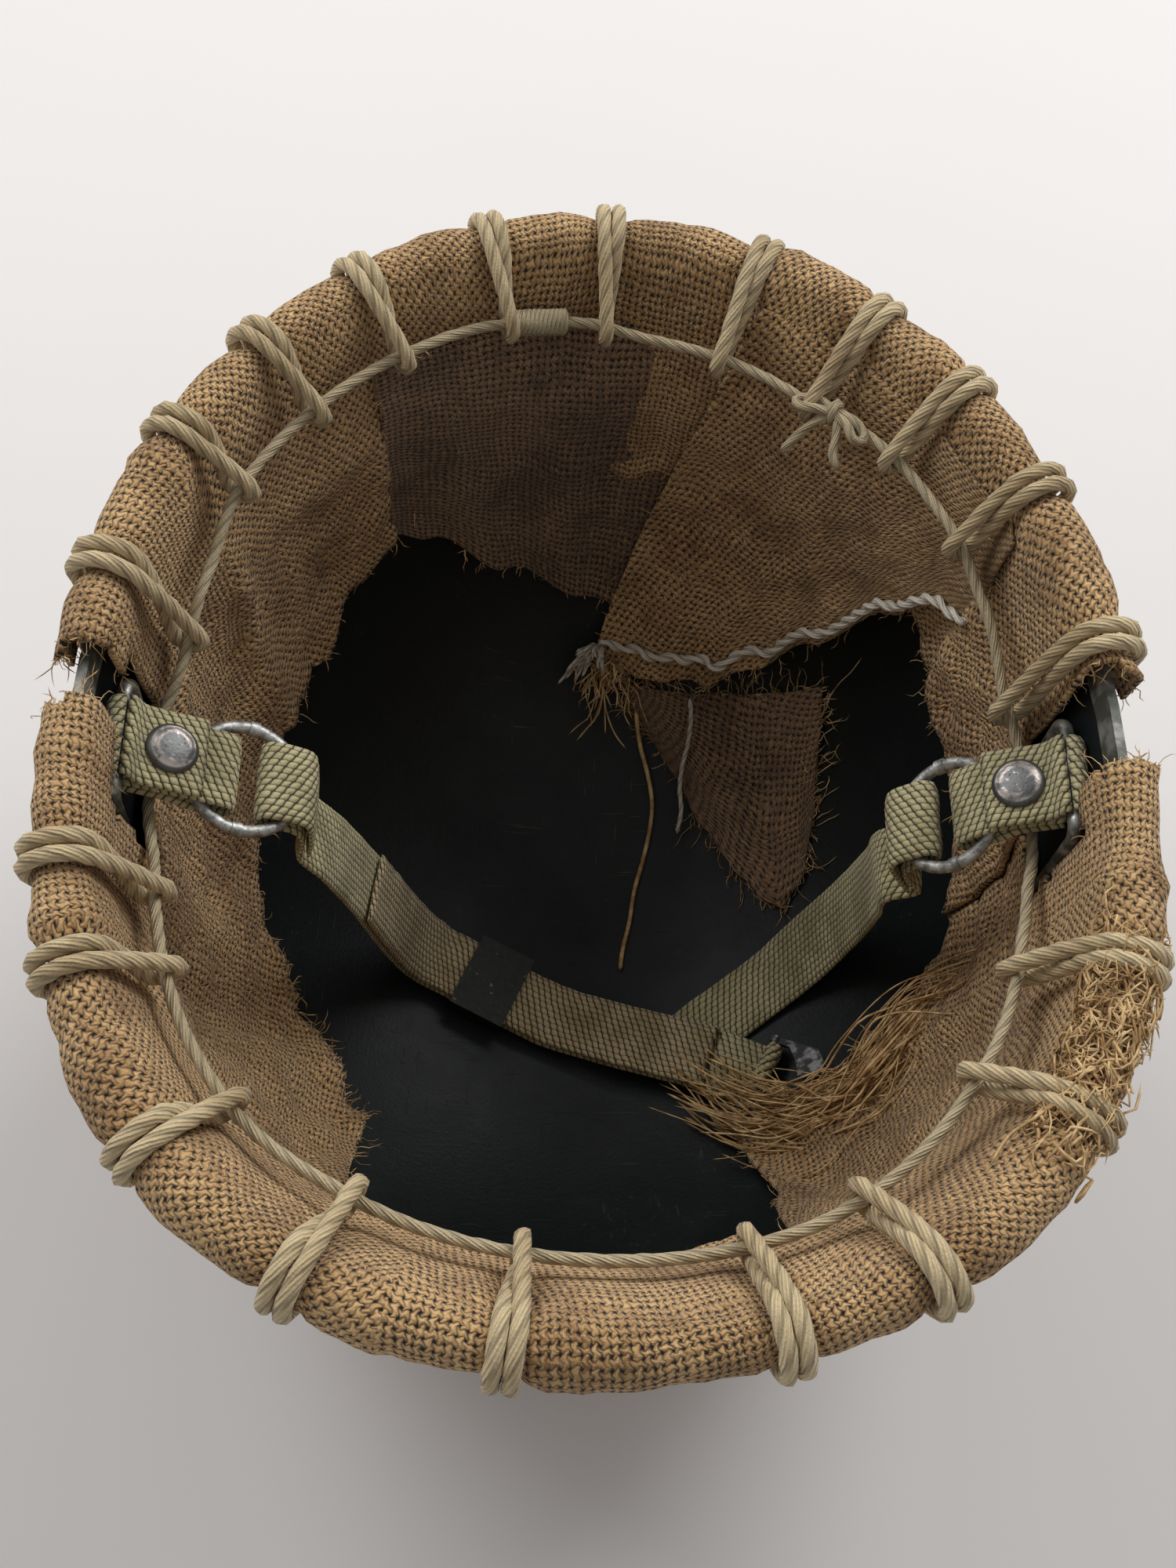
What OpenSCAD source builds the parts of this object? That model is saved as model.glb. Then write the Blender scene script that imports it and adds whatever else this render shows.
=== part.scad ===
// Steel helmet shell standing on its crown, with cloth cover, cord net and two chinstraps.
// Origin on the floor under the crown, +Z out of the opening, +Y towards the visor.

/* [Shell] */
// Half width of the shell body, to the middle of the steel
body_half_w = 113.5; // [108:0.5:118]
// Length of the shell body from its widest place to the visor
body_front_l = 132; // [127:0.5:137]
// Length of the shell body from its widest place to the rear
body_rear_l = 119; // [114:0.5:124]
// How much fuller the rear corners of the plan are than an ellipse
rear_square = 0.05; // [0.02:0.01:0.08]
// Depth of the shell from crown to side rim
shell_depth = 176; // [168:1:184]
// Thickness of the pressed steel
shell_t = 1.2; // [0.9:0.1:1.6]
// Roundness of the dome section, 2 is an ellipse
dome_power = 2.25; // [2.1:0.05:2.4]
// Share of the depth at which the dome turns into an upright wall
wall_start = 0.64; // [0.6:0.01:0.68]
// Outward flare of the rim at the sides
flare_side = 3.5; // [2:0.5:6]
// Outward flare of the visor
flare_front = 15; // [11:0.5:18]
// Outward flare of the rear rim
flare_rear = 14.5; // [10:0.5:17]
// How far the visor rim is cut back from the side rim
rise_front = 6; // [3:1:10]
// How far the rear rim is cut back from the side rim
rise_rear = 2; // [0:1:6]

/* [Rim strip] */
// Height of the folded strip on the edge of the shell
strip_h = 6; // [4:0.5:8]
// Thickness of the folded strip
strip_t = 0.5; // [0.4:0.1:0.7]

/* [Cover] */
// Thickness of the coarse cloth
cloth_t = 1.6; // [1.2:0.1:2]
// Width of the cut in the cloth at each bail
window_w = 40; // [36:1:44]

/* [Net] */
// Thickness of the net cord
cord_d = 4.4; // [3.6:0.2:5]
// Side of one mesh, along the dome
mesh_side = 44; // [43:0.5:45]
// How much thicker a knot is than its cord
knot_scale = 1.5; // [1.5:0.1:1.7]
// Thickness of the drawstring
string_d = 3; // [2.4:0.2:3.4]

/* [Bails] */
// Thickness of the bail rod
bail_d = 4; // [3.4:0.2:4.4]
// Width of the bail between the middles of its legs
bail_w = 30; // [28:0.5:34]
// Depth of the bail bar below the side rim
bail_drop = 14; // [13:1:17]
// Length of a bail leg, along the wall
bail_leg = 26; // [23:1:29]

/* [Webbing] */
// Width of the webbing
web_w = 20; // [18:0.5:22]
// Thickness of the webbing
web_t = 1.8; // [1.4:0.1:2]
// Length of a tab from the bar to the wire of its ring
tab_l = 18; // [17.5:0.5:19]
// Length of the slack end of a tab past the wire
tab_end_l = 8.5; // [8:0.5:9]
// Length of the flap that closes over the snap
flap_l = 20.5; // [20:0.5:22]
// Slope of a tab and its ring below the level
tab_slope = 24; // [21:1:27]

/* [Snaps] */
// Diameter of the snap cap
cap_d = 12.4; // [11:0.2:13]
// Height of the snap cap
cap_h = 2.4; // [2:0.1:3]
// Diameter of the stud
stud_d = 3.6; // [3.2:0.1:3.8]
// Distance from the bar to the snap
snap_at = 12; // [11.8:0.1:12.4]

/* [Rings] */
// Thickness of the ring wire
ring_wire = 3; // [2.6:0.1:3.2]
// Diameter of a ring, to the middle of its wire
ring_d = 27; // [26:0.5:29]
// Slope of the right ring, which hangs steeper than its tab
right_slope = 46; // [42:1:48]

/* [Keeper and hook] */
// Length of the keeper along the strap
keeper_l = 17.5; // [15:0.5:19]
// Thickness of the keeper sheet
keeper_t = 1; // [0.8:0.1:1.2]
// Width of the hook plate
hook_w = 25; // [24:0.5:27]
// Length of the hook plate
hook_l = 19; // [17:0.5:21]
// Thickness of the hook plate
hook_t = 1.6; // [1.4:0.1:2]

/* [Hidden] */
$fn = 48;

// Clearances
seat_gap = 0.3;
steel_gap = 0.1;
cloth_gap = 1.1;

// Share of the meridian that belongs to the dome, and where the flare begins
dome_share = 0.74;
flare_start = 0.84;
flare_power = 1.6;
meridian_l = 241 * shell_depth / 176;

// Offsets from the middle of the steel
half_t = shell_t / 2;
cover_in = half_t + strip_t + steel_gap + cloth_gap;
roll_lift = strip_t + 0.4;
roll_room = 0.4;
cover_out = cover_in + cloth_t;
net_gap = 0.5;
net_off = cover_out + net_gap + cord_d / 2;
dome_cover_in = half_t + cloth_gap;
dome_cover_out = dome_cover_in + cloth_t;
dome_net_off = dome_cover_out + net_gap + cord_d / 2;

// Net lines, as shares of the meridian
net_pitch = mesh_side / meridian_l;
net_lines = 10;
net_end = 0.87;
edge_line = 0.967;
crown_flat = cord_d / 10;
crown_z = dome_net_off + cord_d / 2 - crown_flat - dome_rise(net_pitch / 2);

// The origin lies under the middle of the length, so the widest place is set back
mid_y = (body_rear_l + flare_rear - body_front_l - flare_front) / 2;
module placed() { translate([0, mid_y, 0]) children(); }

function half_l(a) = sin(a) > 0 ? body_front_l : body_rear_l;
function corner(a) = 1 + rear_square * pow(2 * cos(a) * min(0, sin(a)), 2);
function clamp01(x) = min(1, max(0, x));
function mix(a, b, t) = a + (b - a) * t;
function unit(v) = v / norm(v);
function dome_rho(s) = s < dome_share ? pow(sin(90 * s / dome_share), 2 / dome_power) : 1;
function dome_h(s) = s < dome_share
    ? wall_start * (1 - pow(cos(90 * s / dome_share), 2 / dome_power))
    : mix(wall_start, 1, (s - dome_share) / (1 - dome_share));
function dome_rise(s) = shell_depth * dome_h(s);
function front(a) = pow(clamp01(sin(a)), 2);
function rear(a) = pow(clamp01(-sin(a)), 2);
function flare(a) = flare_side * pow(cos(a), 2) + flare_front * front(a) + flare_rear * rear(a);
function flare_part(s) = pow(clamp01((s - flare_start) / (1 - flare_start)), flare_power);
function rim_cut(a) = rise_front * front(a) + rise_rear * rear(a);

// A point in the middle of the steel: s runs from 0 at the crown to 1 at the rim
function steel(s, a) = [
    (body_half_w * corner(a) * dome_rho(s) + flare(a) * flare_part(s)) * cos(a),
    (half_l(a) * corner(a) * dome_rho(s) + flare(a) * flare_part(s)) * sin(a),
    crown_z + shell_depth * dome_h(s) - rim_cut(a) * pow(dome_h(s), 3)];
function up_dir(s, a) = unit(steel(min(1, s + 0.004), a) - steel(max(0, s - 0.004), a));
function round_dir(s, a) = unit(steel(s, a + 0.5) - steel(s, a - 0.5));
function out_dir(s, a) = s < 0.02 ? [0, 0, -1] : unit(cross(round_dir(s, a), up_dir(s, a)));
// The same point moved off the steel, and above the rim when s passes 1
function off_steel(s, a, c) = s <= 1
    ? steel(s, a) + c * out_dir(s, a)
    : steel(1, a) + c * out_dir(1, a) + (s - 1) * meridian_l * up_dir(1, a);
// Round the rim: t is 0 outside, 90 on top and 180 inside
function over_rim(t, a, c, lift) = steel(1, a) + c * cos(t) * out_dir(1, a)
    + (lift + c * sin(t)) * up_dir(1, a);

// Height of the inner face of the bowl over a point of the plan
function bowl_rho(x, y) = let (u = x / (body_half_w - half_t), v = y / (half_l(y) - half_t))
    norm([u, v]) / corner(atan2(v, u));
function bowl_part(x, y) = wall_start
    * (1 - pow(1 - pow(min(0.995, bowl_rho(x, y)), dome_power), 1 / dome_power));
function bowl_z(x, y) = crown_z + half_t + (shell_depth - half_t) * bowl_part(x, y)
    - rim_cut(atan2(y, x)) * pow(bowl_part(x, y), 3);

// A value read between hand-set marks [angle, value], closed round the rim
function around(marks, a) = let (n = len(marks),
    k = max([for (i = [0:n - 1]) marks[i][0] <= a ? i : 0]),
    p = marks[k], q = k + 1 < n ? marks[k + 1] : [marks[0][0] + 360, marks[0][1]])
    mix(p[1], q[1], (a - p[0]) / (q[0] - p[0]));

// A skin closed at the crown: rings[k][i] on the way from the outer pole to the inner pole
module bowl_skin(rings, pole_out, pole_in) {
    n = len(rings[0]);
    m = len(rings);
    points = concat([pole_out], [for (r = rings) each r], [pole_in]);
    last = len(points) - 1;
    faces = concat(
        [for (i = [0:n - 1]) [0, 1 + i, 1 + (i + 1) % n]],
        [for (k = [0:m - 2]) for (i = [0:n - 1]) each let (a = 1 + k * n + i,
            b = 1 + k * n + (i + 1) % n) [[a, a + n, b], [b, a + n, b + n]]],
        [for (i = [0:n - 1]) [last, 1 + (m - 1) * n + (i + 1) % n, 1 + (m - 1) * n + i]]);
    polyhedron(points, faces);
}

// A closed ring of sections: sections[i] is a loop of points, counted the same way each time
module ring_skin(sections) {
    n = len(sections);
    m = len(sections[0]);
    points = [for (s = sections) each s];
    faces = [for (i = [0:n - 1]) for (k = [0:m - 1]) each let (a = i * m + k,
        b = i * m + (k + 1) % m, c = ((i + 1) % n) * m + k, d = ((i + 1) % n) * m + (k + 1) % m)
        [[a, c, b], [b, c, d]]];
    polyhedron(points, faces);
}

// An open run of sections with an end face on each end
module run_skin(sections) {
    n = len(sections);
    m = len(sections[0]);
    points = [for (s = sections) each s];
    faces = concat(
        [for (k = [1:m - 2]) [0, k + 1, k]],
        [for (i = [0:n - 2]) for (k = [0:m - 1]) each let (a = i * m + k,
            b = i * m + (k + 1) % m, c = (i + 1) * m + k, d = (i + 1) * m + (k + 1) % m)
            [[a, b, c], [b, d, c]]],
        [for (k = [1:m - 2]) [(n - 1) * m, (n - 1) * m + k, (n - 1) * m + k + 1]]);
    polyhedron(points, faces);
}

// Directions along a path of points
function heading(p, i) = unit(p[min(len(p) - 1, i + 1)] - p[max(0, i - 1)]);
// Sections of a round cord: up is a rough second direction for each point
function cord_sections(p, ups, d, sides = 6) = [for (i = [0:len(p) - 1]) let (t = heading(p, i),
    w = unit(cross(t, ups[i])), u = cross(w, t))
    [for (k = [0:sides - 1]) let (g = -360 * k / sides)
        p[i] + d / 2 * (cos(g) * u + sin(g) * w)]];
// Sections of a flat web: the width lies level, square to the heading
function web_sections(p, w, t, sides) = [for (i = [0:len(p) - 1]) let (h = heading(p, i),
    side = sides[i], n = unit(cross(h, side)))
    [p[i] - side * w / 2 - n * t / 2, p[i] - side * w / 2 + n * t / 2,
        p[i] + side * w / 2 + n * t / 2, p[i] + side * w / 2 - n * t / 2]];

// --- steel ---
shell_cols = 72;
strip_low = 1 - strip_h / meridian_l;
skin_s = concat([for (k = [1:8]) 0.105 * k], [0.88, 0.92, 0.95, strip_low]);
shell_s = concat(skin_s, [1]);

module shell() {
    outer = [for (s = shell_s) [for (i = [0:shell_cols - 1]) off_steel(s, 360 * i / shell_cols, half_t)]];
    inner = [for (k = [len(shell_s) - 1:-1:0])
        [for (i = [0:shell_cols - 1]) off_steel(shell_s[k], 360 * i / shell_cols, -half_t)]];
    color([0.13, 0.15, 0.13]) placed()
        bowl_skin(concat(outer, inner), [0, 0, crown_z - half_t], [0, 0, crown_z + half_t]);
}

module rim_strip() {
    e = half_t + steel_gap;
    low = strip_low;
    top = 1 + steel_gap / meridian_l;
    cap = top + strip_t / meridian_l;
    color([0.38, 0.39, 0.38]) placed()
        ring_skin([for (i = [0:shell_cols - 1]) let (a = 360 * i / shell_cols)
            [off_steel(low, a, e), off_steel(top, a, e), off_steel(top, a, -e), off_steel(low, a, -e),
                off_steel(low, a, -e - strip_t), off_steel(cap, a, -e - strip_t),
                off_steel(cap, a, e + strip_t), off_steel(low, a, e + strip_t)]]);
}

// Bail: a round rod bent to a square hoop, its legs welded to the upright wall
bar_z = crown_z + shell_depth - bail_drop;
bar_x = body_half_w * cos(asin(bail_w / 2 / body_front_l)) - half_t - seat_gap - bail_d / 2;
bail_bend = bail_d;
module bail() {
    r = bail_d / 2;
    translate([bar_x, 0, bar_z]) {
        rotate([90, 0, 0]) cylinder(r = r, h = bail_w - 2 * bail_bend, center = true);
        for (e = [0, 1]) mirror([0, e, 0]) {
            translate([0, bail_w / 2, -bail_bend - bail_leg]) cylinder(r = r, h = bail_leg);
            translate([0, bail_w / 2 - bail_bend, -bail_bend]) rotate([90, 0, 90])
                rotate_extrude(angle = 90) translate([bail_bend, 0]) circle(r = r);
        }
    }
}
module left_bail() { color([0.42, 0.43, 0.42]) placed() mirror([1, 0, 0]) bail(); }
module right_bail() { color([0.42, 0.43, 0.42]) placed() bail(); }

// --- cloth ---
// Where the tucked edge of the cloth ends, as a share of the meridian
tuck_marks = [[0, 0.56], [12, 0.62], [20, 0.66], [32, 0.76], [46, 0.74], [60, 0.72], [90, 0.7], [108, 0.71],
    [122, 0.7], [139, 0.62], [160, 0.58], [185, 0.5], [200, 0.45], [214, 0.46], [235, 0.6], [257, 0.76],
    [287, 0.8], [305, 0.77], [325, 0.68], [340, 0.6], [351, 0.54]];
cover_cols = 32;
cover_s = concat([for (k = [1:8]) 0.105 * k], [0.88, 0.94, strip_low]);
tuck_s = [0.94, 0.88, 0.83, 0];
function cover_off(s) = mix(dome_cover_in, cover_in, clamp01((s - 0.88) / 0.04));
function tuck_off(s) = mix(half_t + cloth_gap, cover_in, clamp01((s - 0.88) / 0.04));
function cover_rings(face) = let (c = face * cloth_t) concat(
    [for (s = cover_s) [for (i = [0:cover_cols - 1]) off_steel(s, 360 * i / cover_cols, cover_off(s) + c)]],
    [for (t = [40, 140]) [for (i = [0:cover_cols - 1])
        over_rim(t, 360 * i / cover_cols, cover_in + roll_room + c, roll_lift)]],
    [for (k = [0:3]) [for (i = [0:cover_cols - 1]) let (a = 360 * i / cover_cols,
        s = max(tuck_s[k], around(tuck_marks, a) + 0.004 * (3 - k)))
        off_steel(s, a, -tuck_off(s) - c)]]);

window_z = bar_z - bail_bend - bail_leg - 3;
module cover() {
    outer = cover_rings(1);
    inner = cover_rings(0);
    back = [for (k = [len(inner) - 1:-1:0]) inner[k]];
    color([0.56, 0.43, 0.27]) placed() difference() {
        bowl_skin(concat(outer, back), [0, 0, crown_z - dome_cover_out], [0, 0, crown_z - dome_cover_in]);
        for (e = [0, 1]) mirror([e, 0, 0]) {
            // The notch at the rim, and below it the cut in the tucked cloth that clears the bail
            translate([body_half_w - 20, -window_w / 2, crown_z + shell_depth - strip_h])
                cube([50, window_w, 2 * strip_h + 10]);
            translate([0, window_w / 2, 0]) rotate([90, 0, 0]) linear_extrude(height = window_w)
                polygon(concat([[body_half_w - 30, crown_z + shell_depth], [body_half_w - 30, window_z]],
                    [[steel(dome_share, 0)[0] - 1, window_z]],
                    [for (s = [0.84, 0.88, 0.92, 0.96, 1]) [steel(s, 0)[0] - 1, steel(s, 0)[2]]]));
        }
    }
}

// A patch of loose cloth on the inner wall, between two angles and two heights
module wall_patch(a0, a1, cols, s_top, s_low, sag, c0) {
    rows = 4;
    function at(i, k, face) = let (f = i / cols, a = mix(a0, a1, f),
        s = mix(s_top(f), s_low(f), k / rows),
        c = c0 + sag * sin(180 * f) * sin(90 * k / rows))
        off_steel(s, a, -c - face * cloth_t);
    run_skin([for (i = [0:cols]) concat(
        [for (k = [0:rows]) at(i, k, 1)],
        [for (k = [rows:-1:0]) at(i, k, 0)])]);
}
flap_off = half_t + cloth_gap + cloth_t + 1.2;
// Dark pleat of the cloth pushed in behind the visor
module dark_pleat() {
    color([0.36, 0.27, 0.18]) placed()
        wall_patch(89, 121, 10, function(f) 0.86, function(f) mix(0.5, 0.66, f) - 0.04 * sin(180 * f),
            5, flap_off);
}
// Large folded flap at the front right, its lower edge finished with a chain stitch
module side_flap() {
    color([0.52, 0.4, 0.25]) placed()
        wall_patch(24, 87, 14, function(f) 0.86, function(f) mix(0.74, 0.38, pow(f, 0.7)),
            7, flap_off);
}
// Scrap of cloth that hangs below the flap
module hanging_flap() {
    color([0.5, 0.38, 0.24]) placed()
        wall_patch(34, 76, 10, function(f) 0.36, function(f) 0.2 - 0.03 * sin(180 * f),
            4, half_t + 1);
}

// --- net ---
// The outermost lines lie a little closer than the pitch
function line_at(i) = (i - (net_lines - 1) / 2) * net_pitch * (i == 0 || i == net_lines - 1 ? edge_line : 1);
function net_pt(x, y) = let (s = norm([x, y]), a = atan2(y, x),
    p = off_steel(s, a, s < 0.02 ? dome_net_off : mix(dome_net_off, net_off, clamp01((s - 0.8) / 0.1))))
    p;
function net_up(x, y) = out_dir(norm([x, y]), atan2(y, x));
function on_floor(p) = [p[0], p[1], max(0, p[2])];
function net_here(i, j) = i >= 0 && j >= 0 && i < net_lines && j < net_lines
    && norm([line_at(i), line_at(j)]) < net_end - 0.025;
function reach(v) = sqrt(net_end * net_end - v * v);

// Twelve points of a knot: four corners at three levels
function knot_pts(x, y) = let (p = net_pt(x, y), n = net_up(x, y), e = 0.01,
    tx = unit(net_pt(x + e, y) - net_pt(x - e, y)), ty = unit(net_pt(x, y + e) - net_pt(x, y - e)),
    r = cord_d / 2 * knot_scale, lift = (knot_scale - 1) * cord_d / 2)
    [for (c = [[1, -1], [-1, -1], [-1, 1], [1, 1]]) each
        [for (g = [60, 0, -60]) on_floor(p + lift * n
            + r * cos(g) * (c[0] * tx + c[1] * ty) + r * sin(g) * n)]];
// Six points round a cord in the same order as a side of a knot
function cord_ring(x, y, dx, dy) = let (p = net_pt(x, y), n = net_up(x, y),
    t = unit(net_pt(x + dx * 0.01, y + dy * 0.01) - net_pt(x - dx * 0.01, y - dy * 0.01)),
    left = unit(cross(n, t)), r = cord_d / 2)
    [for (g = [60, 0, -60]) on_floor(p + r * cos(g) * left + r * sin(g) * n),
        for (g = [-60, 0, 60]) on_floor(p - r * cos(g) * left + r * sin(g) * n)];

module net() {
    n = net_lines;
    cells = n * n;
    knots = [for (i = [0:n - 1]) for (j = [0:n - 1]) each knot_pts(line_at(i), line_at(j))];
    half = net_pitch / 2;
    // One mid ring for each step between neighbours, along x and then along y
    mids_x = [for (i = [0:n - 2]) for (j = [0:n - 1]) each cord_ring(line_at(i) + half, line_at(j), 1, 0)];
    mids_y = [for (i = [0:n - 1]) for (j = [0:n - 2]) each cord_ring(line_at(i), line_at(j) + half, 0, 1)];
    // End rings: the two ends of each line
    ends_x = [for (j = [0:n - 1]) for (e = [-1, 1]) each cord_ring(e * reach(line_at(j)), line_at(j), 1, 0)];
    ends_y = [for (i = [0:n - 1]) for (e = [-1, 1]) each cord_ring(line_at(i), e * reach(line_at(i)), 0, 1)];
    bmx = cells * 12;
    bmy = bmx + len(mids_x);
    bex = bmy + len(mids_y);
    bey = bex + len(ends_x);
    function side(i, j, l, r) = let (b = (i * n + j) * 12)
        [b + 3 * l, b + 3 * l + 1, b + 3 * l + 2, b + 3 * r + 2, b + 3 * r + 1, b + 3 * r];
    function six(b) = [for (k = [0:5]) b + k];
    function wall(p, q) = [for (k = [0:5]) each let (m = (k + 1) % 6)
        [[p[k], p[m], q[k]], [p[m], q[m], q[k]]]];
    function lid(p, flip) = [for (k = [1:4]) flip ? [p[0], p[k + 1], p[k]] : [p[0], p[k], p[k + 1]]];
    faces = [for (i = [0:n - 1]) for (j = [0:n - 1]) if (net_here(i, j)) each let (b = (i * n + j) * 12)
        concat(
            [[b, b + 9, b + 3], [b + 3, b + 9, b + 6], [b + 2, b + 5, b + 11], [b + 5, b + 8, b + 11]],
            net_here(i + 1, j)
                ? let (m = six(bmx + (i * n + j) * 6))
                    concat(wall(side(i, j, 0, 3), m), wall(m, side(i + 1, j, 1, 2)))
                : let (m = six(bex + (j * 2 + 1) * 6)) concat(wall(side(i, j, 0, 3), m), lid(m, false)),
            net_here(i - 1, j) ? []
                : let (m = six(bex + j * 2 * 6)) concat(wall(m, side(i, j, 1, 2)), lid(m, true)),
            net_here(i, j + 1)
                ? let (m = six(bmy + (i * (n - 1) + j) * 6))
                    concat(wall(side(i, j, 3, 2), m), wall(m, side(i, j + 1, 0, 1)))
                : let (m = six(bey + (i * 2 + 1) * 6)) concat(wall(side(i, j, 3, 2), m), lid(m, false)),
            net_here(i, j - 1) ? []
                : let (m = six(bey + i * 2 * 6)) concat(wall(m, side(i, j, 0, 1)), lid(m, true)))];
    color([0.6, 0.55, 0.38]) placed()
        polyhedron(concat(knots, mids_x, mids_y, ends_x, ends_y), faces);
}

// Angles of the doubled loops on the rim, set by hand
loop_at = [11, 30, 44, 57, 72, 90, 104, 120, 134, 148, 165, 197, 208, 226, 243, 262, 286, 300, 320, 336];
// The ends of the net lines in order round the rim: [angle, x, y, along x, along y]
function net_ends() = by_angle([for (i = [0:net_lines - 1]) let (v = line_at(i)) if (abs(v) < net_end)
    for (e = [-1, 1]) for (q = [[e * reach(v), v, e, 0], [v, e * reach(v), 0, e]])
        [(atan2(q[1], q[0]) + 360) % 360, q[0], q[1], q[2], q[3]]]);
function by_angle(v) = len(v) < 2 ? v : let (m = v[floor(len(v) / 2)][0])
    concat(by_angle([for (x = v) if (x[0] < m) x]), [for (x = v) if (x[0] == m) x],
        by_angle([for (x = v) if (x[0] > m) x]));
// The way from 5 mm past the end of a line to the rim at angle a
function lead(q, a) = let (d = 5 / meridian_l, x = q[1] + q[3] * d, y = q[2] + q[4] * d,
    b = atan2(y, x), b1 = b + 360 * round((a - b) / 360))
    [for (t = abs(a - b1) > 7 ? [0.35, 0.7] : [0.5])
        off_steel(mix(norm([x, y]), 1, t), mix(b1, a, t), net_off)];
function reversed(v) = [for (i = [len(v) - 1:-1:0]) v[i]];
function past_end(q, mm) = let (d = mm / meridian_l) net_pt(q[1] + q[3] * d, q[2] + q[4] * d);

// Drawstring marks set by hand: [angle, distance in from the rim, depth below the rim]
string_marks = [[0, 12, 32], [5, 12, 31], [12, 15, 26], [21, 15.5, 18], [32, 16.5, 11], [44, 18, 9],
    [60, 22, 9], [82, 22, 9], [96, 18.5, 8], [110, 17, 7], [148, 14.5, 8], [159, 15.5, 16],
    [168, 15, 25], [175, 12, 31],
    [180, 12, 32], [185, 12, 31], [192, 15, 26], [201, 16, 18], [212, 16.5, 11], [226, 17, 9], [242, 19, 9],
    [290, 18.5, 9], [318, 20, 9], [330, 19, 13], [340, 17.5, 20], [348, 15, 27], [355, 12, 31]];
function string_mark(a, k) = around([for (m = string_marks) [m[0], m[k]]], a);
function string_pt(a) = let (o = out_dir(1, a))
    steel(1, a) - string_mark(a, 1) * unit([o[0], o[1], 0]) - [0, 0, string_mark(a, 2)];
string_cols = 44;

// Sections carried along a path without twist
function carried(p, i, u) = i >= len(p) ? [] : let (t = heading(p, i), w = unit(cross(t, u)), v = cross(w, t))
    concat([v], carried(p, i + 1, v));

module net_edge_loops() {
    ends = net_ends();
    n = len(ends);
    gap = cord_d / 2 + seat_gap;
    thread = (cord_d / 2 + string_d / 2 + 0.5) / cos(25);
    roll = (net_off + roll_room) / cos(30);
    color([0.62, 0.57, 0.4]) placed()
        for (k = [0:len(loop_at) - 1]) {
            a = loop_at[k];
            q0 = ends[(2 * k + n - 1) % n];
            q1 = ends[2 * k];
            b0 = q0[0] - (q0[0] > a + 180 ? 360 : 0);
            b1 = q1[0];
            half = atan(gap / norm([steel(1, a)[0], steel(1, a)[1]]));
            a0 = a - half;
            a1 = a + half;
            c = string_pt(a);
            er = unit(over_rim(150, a, roll, roll_lift) - c);
            ep = unit(cross(er, round_dir(1, a)));
            p = concat([past_end(q0, 0.9), past_end(q0, 5)], lead(q0, a0),
                [for (t = [30, 90, 150]) over_rim(t, a0, roll, roll_lift)],
                [for (g = [10:-50:-190]) c + thread * (cos(g) * -ep + sin(g) * er)],
                [for (t = [150, 90, 30]) over_rim(t, a1, roll, roll_lift)],
                reversed(lead(q1, a1)), [past_end(q1, 5), past_end(q1, 0.9)]);
            run_skin(cord_sections(p, carried(p, 0, out_dir(0.86, b0)), cord_d));
        }
}

module drawstring() {
    p = [for (i = [0:string_cols - 1]) string_pt(360 * i / string_cols)];
    color([0.66, 0.6, 0.45]) placed()
        ring_skin([for (i = [0:string_cols - 1]) let (
            t = unit(p[(i + 1) % string_cols] - p[(i + string_cols - 1) % string_cols]),
            w = unit(cross(t, [0, 0, 1])), u = cross(w, t))
            [for (k = [0:5]) let (g = 60 * k) p[i] + string_d / 2 * (cos(g) * u + sin(g) * w)]]);
}

// --- tabs, snaps and rings, drawn for the right side and mirrored for the left ---
bar_gap = bail_d / 2 + seat_gap;
ply_mid = bar_gap + web_t / 2;
wire_r = ring_wire / 2;
tab_end_r = wire_r + seat_gap + web_t / 2;
washer_t = 0.8;
under_mid = -ply_mid - web_t - washer_t - 0.5;
// Local frame of a tab: x runs along it from the bar, z points away from the wall
module tab_frame() {
    translate([bar_x, 0, bar_z]) mirror([1, 0, 0]) rotate([0, tab_slope, 0]) children();
}
// A strip of web: a thick line through points of the x-z plane, web_w wide
module strip(p, w = web_w, t = web_t) {
    n = len(p);
    function side2(i) = let (a = p[max(0, i - 1)], b = p[min(n - 1, i + 1)], v = (b - a) / norm(b - a))
        [-v[1], v[0]];
    rotate([90, 0, 0]) linear_extrude(height = w, center = true)
        polygon(concat([for (i = [0:n - 1]) p[i] + side2(i) * t / 2],
            [for (i = [n - 1:-1:0]) p[i] - side2(i) * t / 2]));
}
function arc2(c, r, a0, a1, n) = [for (i = [0:n]) c + r * [cos(mix(a0, a1, i / n)), sin(mix(a0, a1, i / n))]];
wire_at = [tab_l, -ply_mid - tab_end_r];
module tab(bend = 0) {
    // The slack end turns down with the ring that hangs in it
    function turned(v) = wire_at + [v[0] * cos(bend) + v[1] * sin(bend), v[1] * cos(bend) - v[0] * sin(bend)];
    // Over the bar, down behind it, along and round the ring wire, and back below it to the bar
    tab_frame() difference() {
        strip(concat(arc2([0, 0], ply_mid, 92, 268, 14), [[3, -ply_mid], [tab_l - 1.5, -ply_mid]],
            [turned([0.3, tab_end_r]), turned([tab_end_l - 1, tab_end_r])],
            [for (q = arc2([tab_end_l, 0], tab_end_r, 88, -88, 12)) turned(q)],
            [turned([0.8, -tab_end_r]), [tab_l - 2, -ply_mid - 2 * tab_end_r + 0.3],
                [tab_l - 4, under_mid - 0.3], [tab_l - 5.5, under_mid], [2.5, under_mid]]));
        translate([snap_at, 0, -ply_mid - web_t]) cylinder(r = stud_d / 2 - 0.7, h = 2 * web_t);
    }
}
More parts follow.
